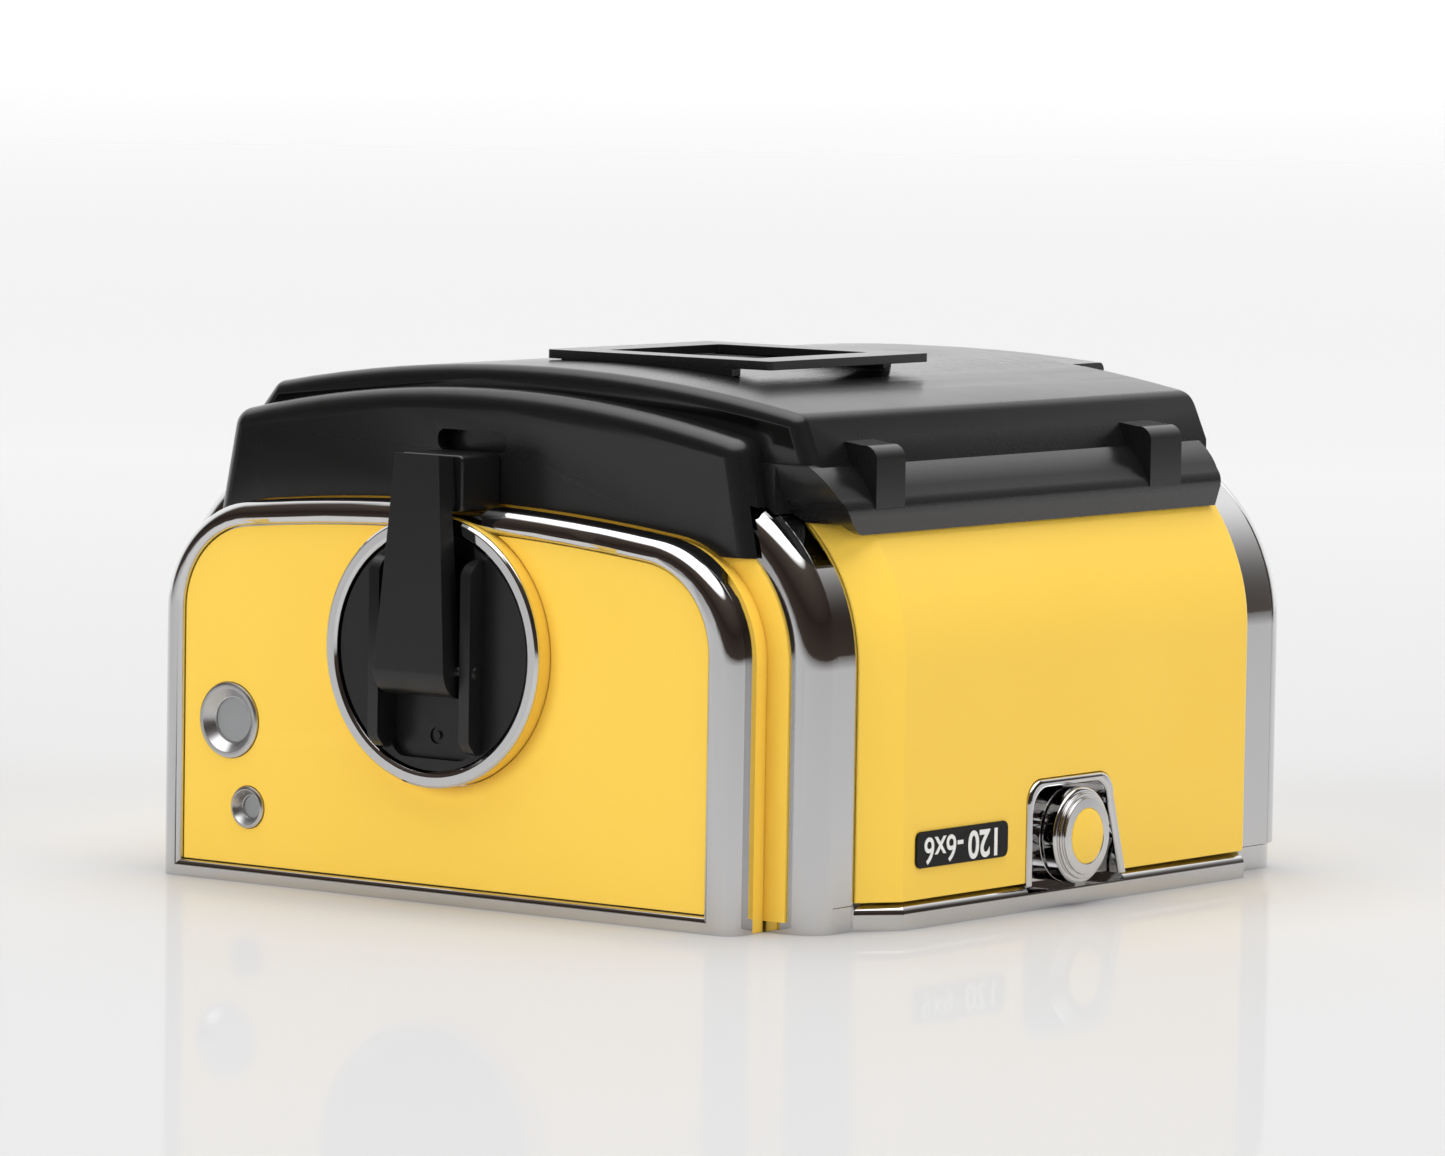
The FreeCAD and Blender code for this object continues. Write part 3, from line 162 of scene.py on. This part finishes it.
def make_handling():
    """Gives a smear for the roughness and a mask of specks."""
    group, entry, result = new_group(
        "handling_marks",
        (("Smear amount", 0.1), ("Specks per metre", 420.0), ("Speck share", 0.06)),
        (("Smear", "NodeSocketFloat"), ("Speck", "NodeSocketFloat")))
    place = add_node(group, "ShaderNodeTexCoord")
    smear = set_inputs(add_node(group, "ShaderNodeTexNoise"), Scale=SMEAR_SCALE, Detail=6.0, Distortion=0.8)
    link = group.links.new
    link(place.outputs["Object"], smear.inputs["Vector"])
    weakened = math_node(group, "MULTIPLY", smear.outputs[0], entry.outputs["Smear amount"])
    link(weakened, result.inputs["Smear"])
    specks = add_node(group, "ShaderNodeTexVoronoi")
    link(place.outputs["Object"], specks.inputs["Vector"])
    link(entry.outputs["Specks per metre"], specks.inputs["Scale"])
    near = math_node(group, "LESS_THAN", specks.outputs["Distance"], SPECK_REACH)
    chosen = add_node(group, "ShaderNodeSeparateColor")
    link(specks.outputs["Color"], chosen.inputs[0])
    kept = math_node(group, "LESS_THAN", chosen.outputs[0], entry.outputs["Speck share"])
    link(math_node(group, "MULTIPLY", near, kept), result.inputs["Speck"])
    return group


handling = make_handling()

# %% [markdown]
# Edges that are touched often are rubbed smooth. The mesh's own pointiness tells convex edges
# from flat faces; a narrow ramp turns it into a mask, and noise makes the wear uneven.


# %% The edge-rub effect
RUB_NOISE_SCALE = 700.0


def make_edge_rub():
    """Gives a mask that is strongest on worn convex edges."""
    group, entry, result = new_group(
        "edge_rub", (("Starts at", 0.53), ("Ends at", 0.62)), (("Rub", "NodeSocketFloat"),))
    shape = add_node(group, "ShaderNodeNewGeometry")
    place = add_node(group, "ShaderNodeTexCoord")
    uneven = set_inputs(add_node(group, "ShaderNodeTexNoise"), Scale=RUB_NOISE_SCALE)
    ramp = add_node(group, "ShaderNodeMapRange")
    link = group.links.new
    link(place.outputs["Object"], uneven.inputs["Vector"])
    link(shape.outputs["Pointiness"], ramp.inputs["Value"])
    link(entry.outputs["Starts at"], ramp.inputs["From Min"])
    link(entry.outputs["Ends at"], ramp.inputs["From Max"])
    rub = math_node(group, "MULTIPLY", ramp.outputs[0], uneven.outputs[0], clamp=True)
    link(rub, result.inputs["Rub"])
    return group


edge_rub = make_edge_rub()

# %% [markdown]
# ## The finishes
# Every material below starts from the same skeleton: a base colour shifted a little by broad
# tone, a roughness shifted by smears and worn edges, and a bump from the grain. The values
# are what make chrome, leather, moulded plastic, brass or steel.


# %% The common skeleton of a finish
def finish(name, dark, light, metallic, roughness, grain_scale=2500.0, cell_share=0.5, bump=0.1,
           bump_depth=0.00002, smear=0.1, speck=0.0, speck_colour=(0.6, 0.6, 0.58), rub=-0.08, **sockets):
    """Builds a material; bump_depth is in metres, and sockets are constants on the Principled shader."""
    material = bpy.data.materials.new(name)
    material.use_nodes = True
    tree = material.node_tree
    link = tree.links.new
    shader = tree.nodes["Principled BSDF"]
    set_inputs(shader, Metallic=metallic, **sockets)
    skin = add_node(tree, "ShaderNodeGroup", node_tree=grain)
    set_inputs(skin, Cells_per_metre=grain_scale, Cell_share=cell_share)
    marks = add_node(tree, "ShaderNodeGroup", node_tree=handling)
    set_inputs(marks, Smear_amount=smear, Speck_share=speck)
    worn = add_node(tree, "ShaderNodeGroup", node_tree=edge_rub)
    toned = mix_colours(tree, skin.outputs["Tone"], dark, light)
    rubbed = mix_colours(tree, worn.outputs["Rub"], toned, light)
    dusty = mix_colours(tree, marks.outputs["Speck"], rubbed, speck_colour)
    link(dusty, shader.inputs["Base Color"])
    smeared = math_node(tree, "ADD", marks.outputs["Smear"], roughness - smear / 2)
    shift = math_node(tree, "MULTIPLY", worn.outputs["Rub"], rub)
    link(math_node(tree, "ADD", smeared, shift, clamp=True), shader.inputs["Roughness"])
    relief = set_inputs(add_node(tree, "ShaderNodeBump"), Strength=bump, Distance=bump_depth)
    link(skin.outputs["Height"], relief.inputs["Height"])
    link(relief.outputs["Normal"], shader.inputs["Normal"])
    return material


# %% [markdown]
# Polished chromium plate is nearly a mirror, a neutral grey that is darker than silver. It shows
# the studio rather than itself, so its own colour barely varies and only a trace of smear is
# left.

# %% Metals
METAL, NOT_METAL = 1.0, 0.0
polished_chrome = finish("polished_chrome", (0.635, 0.63, 0.63), (0.68, 0.68, 0.685), METAL, 0.055,
                         grain_scale=900.0, bump=0.03, smear=0.04, rub=-0.02)
satin_metal = finish("satin_metal", (0.55, 0.55, 0.55), (0.66, 0.66, 0.67), METAL, 0.30,
                     grain_scale=6000.0, bump=0.15, smear=0.12)
cut_brass = finish("cut_brass", (0.62, 0.45, 0.19), (0.74, 0.57, 0.28), METAL, 0.28,
                   grain_scale=5000.0, bump=0.12)
slide_steel = finish("slide_steel", (0.38, 0.38, 0.39), (0.48, 0.48, 0.49), METAL, 0.26,
                     grain_scale=4000.0, bump=0.1)

# %% [markdown]
# The covering is a smooth, very finely pebbled leatherette in a warm egg-yolk yellow. The
# black parts are moulded plastic with a fine satin skin, and the crank is a little duller and
# carries more pale dust specks.

# %% Leather, plastics and paint
YOLK_DARK = (0.905, 0.590, 0.072)
YOLK_LIGHT = (0.945, 0.632, 0.094)
yellow_leather = finish("yellow_leather", YOLK_DARK, YOLK_LIGHT, NOT_METAL, 0.46,
                        grain_scale=3200.0, cell_share=0.9, bump=0.22, bump_depth=0.00003,
                        smear=0.12, rub=0.05, Specular_IOR_Level=0.35)
black_plastic = finish("black_plastic", (0.0060, 0.0061, 0.0062), (0.0085, 0.0086, 0.0088), NOT_METAL, 0.30,
                       grain_scale=5200.0, cell_share=0.8, bump=0.18, smear=0.08, speck=0.004,
                       speck_colour=(0.25, 0.25, 0.25), Specular_IOR_Level=0.36, Coat_Weight=0.3,
                       Coat_Roughness=0.18)
crank_black = finish("crank_black", (0.0070, 0.0070, 0.0074), (0.0100, 0.0100, 0.0104), NOT_METAL, 0.34,
                     grain_scale=3600.0, cell_share=0.6, bump=0.14, smear=0.12, speck=0.03,
                     speck_colour=(0.30, 0.30, 0.29), Specular_IOR_Level=0.45)
frame_black = finish("frame_black", (0.014, 0.014, 0.014), (0.024, 0.024, 0.024), NOT_METAL, 0.62,
                     grain_scale=2600.0)
spool_black = finish("spool_black", (0.02, 0.02, 0.02), (0.03, 0.03, 0.03), NOT_METAL, 0.42,
                     grain_scale=3000.0)
label_black = finish("label_black", (0.006, 0.006, 0.006), (0.009, 0.009, 0.009), NOT_METAL, 0.24,
                     grain_scale=2000.0, bump=0.05, smear=0.06, Specular_IOR_Level=0.15)
print_white = finish("print_white", (0.74, 0.74, 0.72), (0.82, 0.82, 0.80), NOT_METAL, 0.40,
                     grain_scale=4000.0, bump=0.05)
dial_white = finish("dial_white", (0.30, 0.30, 0.30), (0.36, 0.36, 0.36), NOT_METAL, 0.5,
                    grain_scale=3000.0, bump=0.05)
signal_red = finish("signal_red", (0.42, 0.020, 0.014), (0.52, 0.032, 0.020), NOT_METAL, 0.4,
                    grain_scale=3000.0, bump=0.05)
window_glass = finish("window_glass", (0.55, 0.57, 0.58), (0.62, 0.64, 0.65), NOT_METAL, 0.08,
                      bump=0.01, smear=0.04, Transmission_Weight=0.6, IOR=1.49)
SLOT_FINISH = {
    "chrome": polished_chrome, "satin_metal": satin_metal, "yellow_leather": yellow_leather,
    "black_plastic": black_plastic, "black_crank": crank_black, "black_frame": frame_black,
    "brass_gear": cut_brass, "window_glass": window_glass, "dial_white": dial_white,
    "flag_enamel": dial_white, "label_black": label_black, "spool_plastic": spool_black,
    "slide_steel": slide_steel}
node_slot = {part["node"]: part["material_slot"] for part in frame["record"]["subparts"]}
behaviour = frame["record"]["behaviour"]
body_of_node = {node: body for body, members in behaviour["bodies"].items() for node in members}
print(len(SLOT_FINISH), "finishes for", len(node_slot), "parts")

# %% [markdown]
# ## Crisp parts with real edges
# No machined or moulded edge is perfectly sharp: it catches a thin line of light. Each part
# that shows is therefore copied, its loose triangles are welded, flat areas become single
# faces, and a Bevel modifier rounds the sharp edges by 0.03 to 0.35 mm. The copy stands in for
# the plain part and moves with the same body.

# %% Welding and softening one part
FLAT_ANGLE = math.radians(0.4)
SHARP_ANGLE = math.radians(26.0)
EDGE_SEGMENTS = 2


def mark_sharp_edges(work):
    """Shades across every edge of a mesh under work, apart from its sharp ones."""
    for edge in work.edges:
        edge.smooth = edge.calc_face_angle(0.0) < SHARP_ANGLE


def soften(node, radius):
    """Makes a welded copy of a part in its own finish, with its edges rounded to a radius in millimetres."""
    source = frame["nodes"][node]
    mesh = source.data.copy()
    mesh.name = node + "_finished"
    work = bmesh.new()
    work.from_mesh(mesh)
    bmesh.ops.remove_doubles(work, verts=work.verts, dist=WELD_DISTANCE)
    bmesh.ops.dissolve_limit(work, angle_limit=FLAT_ANGLE, verts=work.verts, edges=work.edges)
    for face in work.faces:
        face.smooth = True
    mark_sharp_edges(work)
    work.to_mesh(mesh)
    work.free()
    mesh.materials.clear()
    mesh.materials.append(SLOT_FINISH[node_slot[node]])
    piece = bpy.data.objects.new(node + "_finished", mesh)
    bpy.context.scene.collection.objects.link(piece)
    if radius > 0:
        rounding = piece.modifiers.new("edges", "BEVEL")
        rounding.width = radius * MM
        rounding.segments = EDGE_SEGMENTS
        rounding.limit_method = "ANGLE"
        rounding.angle_limit = SHARP_ANGLE
        rounding.harden_normals = True
    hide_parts(node)
    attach(piece, body_of_node[node])


# %% [markdown]
# Metal and leather get small radii, and most moulded plastic larger ones. The leather strip on
# the ledge is so thin that its edges stay plain, and so do the screws and the parts inside.

# %% The parts that show, with their edge radii in millimetres
EDGE_RADII = {
    "front_plate": 0.25, "end_frame": 0.15, "casing": 0.12,
    "top_leather": 0.12, "foot_leather": 0.12, "ledge_leather": 0.0,
    "housing_base": 0.12, "housing_cover": 0.12, "side_leather": 0.08,
    "crank_collar": 0.1, "crank_ring": 0.08,
    "counter_bezel": 0.06, "counter_glass": 0.03, "flag_bezel": 0.05, "flag_glass": 0.03,
    "rear_cover": 0.35, "catch_block": 0.3, "memo_holder": 0.15, "label_plate": 0.08,
    "button_niche": 0.2, "release_button": 0.1, "button_cap": 0.08,
    "crank_disc": 0.25, "crank_lever": 0.35,
    "insert_lid": 0.12, "lid_leather": 0.06, "key_disc": 0.15, "key_handle": 0.2, "slide_pull": 0.15}
for node, radius in EDGE_RADII.items():
    soften(node, radius)
for node, piece in frame["nodes"].items():
    if node not in EDGE_RADII:
        piece.data.materials.clear()
        piece.data.materials.append(SLOT_FINISH[node_slot[node]])
print(len(EDGE_RADII), "parts copied and finished")

# %% [markdown]
# ## Small surfaces worked out with numpy
# Two helpers make the small fittings. A turned piece carries a profile of radius and height
# round an axis, as a lathe does. A carried piece joins a row of flat sections about one place
# and closes both ends. Both compute all their points at once, as arrays.


# %% Turned and carried surfaces
def show(name, mesh, material, body):
    """Puts a finished mesh on the stage: its place is in its points, so the object stays at the origin."""
    mesh.materials.append(material)
    mesh.shade_smooth()
    piece = bpy.data.objects.new(name, mesh)
    bpy.context.scene.collection.objects.link(piece)
    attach(piece, body)


def closed_mesh(name, points, faces):
    """A mesh whose doubled points are merged and whose faces all look outwards."""
    mesh = bpy.data.meshes.new(name)
    mesh.from_pydata(points.tolist(), [], faces)
    work = bmesh.new()
    work.from_mesh(mesh)
    bmesh.ops.remove_doubles(work, verts=work.verts, dist=WELD_DISTANCE)
    bmesh.ops.recalc_face_normals(work, faces=work.faces)
    mark_sharp_edges(work)
    work.to_mesh(mesh)
    work.free()
    return mesh


def grid_faces(rows, columns):
    """Quads of a grid whose last column meets its first: each joins two neighbours and the next row's two."""
    row, column = np.meshgrid(np.arange(rows - 1), np.arange(columns), indexing="ij")
    nearer, further = row * columns, (row + 1) * columns
    beside = (column + 1) % columns
    corners = np.stack([nearer + column, nearer + beside, further + beside, further + column], axis=-1)
    return corners.reshape(-1, 4).tolist()


TURNING_STEPS = 48


def turned(name, profile, centre, axis):
    """Point (i, j) = centre + axis * height_i + radius_i * (first * cos(angle_j) + second * sin(angle_j))."""
    radius, rise = np.array(profile).T * MM
    axis = np.array(axis, float)
    first = np.cross(axis, (0.0, 0.0, 1.0))
    second = np.cross(axis, first)
    angle = np.linspace(0.0, 2 * np.pi, TURNING_STEPS, endpoint=False)
    spoke = np.outer(np.cos(angle), first) + np.outer(np.sin(angle), second)
    points = np.array(centre) + rise[:, None, None] * axis + radius[:, None, None] * spoke[None, :, :]
    return closed_mesh(name, points.reshape(-1, 3), grid_faces(len(radius), TURNING_STEPS))


def carried(name, sections, place):
    """Point (i, j) = place + point j of section i, with the first and the last section closed by a face."""
    points = sections + place
    count, around = points.shape[:2]
    faces = grid_faces(count, around)
    faces += [list(range(around)), list(range((count - 1) * around, count * around))]
    return closed_mesh(name, points.reshape(-1, 3), faces)


# %% [markdown]
# The lever's hinge pin shows as small domed heads on the fences, with a thin collar under each.
# They are turned from a quarter-round profile that starts and ends on the axis.

# %% Heads of the hinge pin
# Radius and height above the fence, in millimetres.
HEAD_PROFILE = ((0.0, -0.05), (0.78, -0.05), (0.78, 0.06), (0.66, 0.14),
                (0.62, 0.14), (0.52, 0.25), (0.30, 0.33), (0.0, 0.36))
pin_low, pin_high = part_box("hinge_pin")
hinge_y, hinge_z = (pin_low.y + pin_high.y) / 2, (pin_low.z + pin_high.z) / 2
for name, across, facing_x in (("pin_head_left", pin_low.x, -1.0), ("pin_head_right", pin_high.x, 1.0)):
    head = turned(name, HEAD_PROFILE, (across, hinge_y, hinge_z), (facing_x, 0.0, 0.0))
    show(name, head, crank_black, "crank")
print("pin heads stand proud by", HEAD_PROFILE[-1][1], "mm")

# %% [markdown]
# The film flag is white where it shows a fresh film and red where the film is used up. The red
# field is a thin sector of a ring: a flat four-point section carried round the flag's pivot.

# %% The red field of the film flag
flag_low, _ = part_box("film_flag")
flag_joint = next(joint for joint in behaviour["joints"] if joint["name"] == "flag_turn")
pivot_x, _, pivot_z = flag_joint["pos_m"]
FLAG_RADII = (2.8 * MM, 6.3 * MM)
FLAG_ANGLES = np.radians(np.linspace(-7.0, 6.0, 12))
PAINT = 0.03 * MM
spoke = np.stack([np.cos(FLAG_ANGLES), np.zeros_like(FLAG_ANGLES), np.sin(FLAG_ANGLES)], axis=1)
reach = np.array([FLAG_RADII[0], FLAG_RADII[1], FLAG_RADII[1], FLAG_RADII[0]])
depth = np.array([flag_low.y - PAINT, flag_low.y - PAINT, flag_low.y, flag_low.y])
sections = spoke[:, None, :] * reach[None, :, None] + depth[None, :, None] * np.array([0.0, 1.0, 0.0])
red_field = carried("flag_red_field", sections, (pivot_x, 0.0, pivot_z))
show("flag_red_field", red_field, signal_red, "flag")

# %% [markdown]
# ## Printing
# The label and the frame dial are printed. Lettering starts as a text curve with a little
# thickness, becomes a mesh, and is then laid on its surface by a matrix whose columns are the
# reading direction, the upright direction and the way out of the surface. The words are
# generic: the film type and the picture format.


# %% Laying lettering on a surface
def lettering(name, words, size, centre, along, upward, material, body, weight=0.0):
    """Text centred on a point; size is the font's body height and weight thickens the strokes."""
    curve = bpy.data.curves.new(name, "FONT")
    curve.body = words
    curve.size = size
    curve.extrude = PAINT
    curve.offset = weight
    curve.align_x = "CENTER"
    curve.align_y = "CENTER"
    draft = bpy.data.objects.new(name + "_draft", curve)
    bpy.context.scene.collection.objects.link(draft)
    bpy.context.view_layer.update()
    mesh = bpy.data.meshes.new_from_object(draft)
    bpy.data.objects.remove(draft)
    mesh.name = name
    along, upward = Vector(along), Vector(upward)
    lay = Matrix((along, upward, along.cross(upward))).transposed().to_4x4()
    mesh.transform(Matrix.Translation(centre) @ lay)
    mesh.materials.clear()
    show(name, mesh, material, body)


# %% The label
# Name, words, middle along Y, body height and added stroke weight, all in millimetres.
LABEL_PRINT = (("label_film", "120", -18.3, 4.0, 0.08), ("label_format", "-6x6", -25.6, 3.9, 0.03))
label_low, label_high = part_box("label_plate")
label_up = (label_low.z + label_high.z) / 2
label_face = label_high.x + PAINT / 2
for name, words, middle, size, weight in LABEL_PRINT:
    lettering(name, words, size * MM, (label_face, middle * MM, label_up), (0.0, -1.0, 0.0), (0.0, 0.0, -1.0),
              print_white, "magazine", weight=weight * MM)
print("label is", round((label_high.y - label_low.y) / MM, 1), "mm long")

# %% [markdown]
# The frame dial carries 1 to 12 with two blank places, so it has fourteen steps. A number is
# upright when it reaches the window; at rest it is turned back by its own count of steps.

# %% Numbers on the frame dial
DIAL_STEPS = 14
NUMBER_SIZE = 2.7 * MM
dial_low, dial_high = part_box("counter_dial")
dial_x, dial_z = (dial_low.x + dial_high.x) / 2, (dial_low.z + dial_high.z) / 2
glass_low, glass_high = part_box("counter_glass")
to_window = np.array([(glass_low.x + glass_high.x) / 2 - dial_x, (glass_low.z + glass_high.z) / 2 - dial_z])
for count in range(1, DIAL_STEPS - 1):
    turn = -2 * math.pi * count / DIAL_STEPS
    spin = np.array([[math.cos(turn), -math.sin(turn)], [math.sin(turn), math.cos(turn)]])
    place = spin @ to_window
    reading = spin @ np.array([0.0, -1.0])
    upward = spin @ np.array([1.0, 0.0])
    centre = (dial_x + place[0], dial_low.y - PAINT / 2, dial_z + place[1])
    lettering(f"dial_number_{count}", str(count), NUMBER_SIZE, centre, (reading[0], 0.0, reading[1]),
              (upward[0], 0.0, upward[1]), label_black, "dial")

# %% [markdown]
# ## Studio
# The magazine stands on a wide pale surface under soft light. The surface mirrors the magazine
# only faintly, which a very small index of refraction gives.

# %% The floor
FLOOR_HALF = 30.0
floor_mesh = bpy.data.meshes.new("floor")
corners = np.array([[-1, -1, 0], [1, -1, 0], [1, 1, 0], [-1, 1, 0]]) * FLOOR_HALF
floor_mesh.from_pydata(corners.tolist(), [], [(0, 1, 2, 3)])
floor = bpy.data.objects.new("floor", floor_mesh)
bpy.context.scene.collection.objects.link(floor)
white_floor = bpy.data.materials.new("white_floor")
white_floor.use_nodes = True
floor_shader = white_floor.node_tree.nodes["Principled BSDF"]
set_inputs(floor_shader, Base_Color=(0.56, 0.56, 0.56, 1.0), Roughness=0.03, IOR=1.018)
floor_mesh.materials.append(white_floor)

# %% [markdown]
# Chrome shows what is around it, so the surroundings are designed like a product photographer's
# set. Overhead is one very bright soft box. Below it, on the camera's side, is the unlit warm
# room, which draws dark brown lines along every curve of the chrome. Behind the magazine hangs
# a pale backdrop. A ramp over the height gives the soft box, and the angle to the backdrop,
# a dot product of two directions, says how much of the room is covered by it.

# %% The surroundings
SKY_BANDS = ((0.0, (0.060, 0.045, 0.036)), (0.30, (0.030, 0.022, 0.018)), (0.62, (0.075, 0.057, 0.046)),
             (0.74, (0.10, 0.08, 0.065)), (0.80, (1.9, 1.9, 1.92)), (1.0, (3.2, 3.2, 3.24)))
BACKDROP = (-0.6, 0.8, 0.0)
BACKDROP_EDGE = (0.30, 0.62)
BACKDROP_COLOUR = (1.12, 1.12, 1.12)
world = bpy.data.worlds.new("studio")
bpy.context.scene.world = world
world.use_nodes = True
sky = world.node_tree
direction = add_node(sky, "ShaderNodeTexCoord")
height = add_node(sky, "ShaderNodeSeparateXYZ")
bands = add_node(sky, "ShaderNodeValToRGB")
sky.links.new(direction.outputs["Generated"], height.inputs[0])
sky.links.new(height.outputs["Z"], bands.inputs[0])
while len(bands.color_ramp.elements) < len(SKY_BANDS):
    bands.color_ramp.elements.new(0.5)
for element, (position, colour) in zip(bands.color_ramp.elements, SKY_BANDS):
    element.position = position
    element.color = (*colour, 1.0)
facing = add_node(sky, "ShaderNodeVectorMath", operation="DOT_PRODUCT")
facing.inputs[1].default_value = BACKDROP
sky.links.new(direction.outputs["Generated"], facing.inputs[0])
covered = add_node(sky, "ShaderNodeMapRange", interpolation_type="SMOOTHSTEP")
set_inputs(covered, From_Min=BACKDROP_EDGE[0], From_Max=BACKDROP_EDGE[1])
sky.links.new(facing.outputs["Value"], covered.inputs["Value"])
room = mix_colours(sky, covered.outputs[0], bands.outputs[0], BACKDROP_COLOUR, blend_type="LIGHTEN")
sky.links.new(room, sky.nodes["Background"].inputs[0])


# %% [markdown]
# Two broad fill lights stand low beside the camera. They are hidden from reflections, as a
# photographer hides them with flags, so they brighten the leather without spotting the chrome.

# %% Soft fill lights
def fill_light(name, azimuth, elevation, spread, strength):
    """A wide sun: azimuth goes from +X towards +Y, and spread is its apparent width, all in degrees."""
    lamp = bpy.data.lights.new(name, "SUN")
    lamp.energy = strength
    lamp.angle = math.radians(spread)
    holder = bpy.data.objects.new(name, lamp)
    turn, rise = math.radians(azimuth), math.radians(elevation)
    towards = Vector((math.cos(turn) * math.cos(rise), math.sin(turn) * math.cos(rise), math.sin(rise)))
    holder.rotation_euler = towards.to_track_quat("Z", "Y").to_euler()
    holder.visible_glossy = False
    bpy.context.scene.collection.objects.link(holder)


fill_light("crank_side_fill", -105.0, 10.0, 50.0, 2.3)
fill_light("label_side_fill", 5.0, 10.0, 50.0, 1.8)

# %% [markdown]
# ## Camera
# A long lens low over the table, looking at the corner between the crank side and the top
# side. Its turn is built from an azimuth, an elevation and a slight roll.

# %% The camera
CAMERA_PLACE = (0.504494, -0.669307, 0.100054)
AZIMUTH, ELEVATION, ROLL = (math.radians(angle) for angle in (37.07, 4.67, 0.93))
back = Vector((math.sin(AZIMUTH) * math.cos(ELEVATION), -math.cos(AZIMUTH) * math.cos(ELEVATION),
               math.sin(ELEVATION)))
level = Vector((math.cos(AZIMUTH), math.sin(AZIMUTH), 0.0))
upright = back.cross(level)
right = level * math.cos(ROLL) + upright * math.sin(ROLL)
turn = Matrix((right, back.cross(right), back)).transposed()
lens = bpy.data.cameras.new("camera")
lens.sensor_width = 36.0
lens.lens = 191.83
lens.clip_start = 0.01
camera = bpy.data.objects.new("camera", lens)
camera.matrix_world = Matrix.Translation(CAMERA_PLACE) @ turn.to_4x4()
bpy.context.scene.collection.objects.link(camera)
bpy.context.scene.camera = camera
bpy.context.scene.view_settings.view_transform = "Standard"
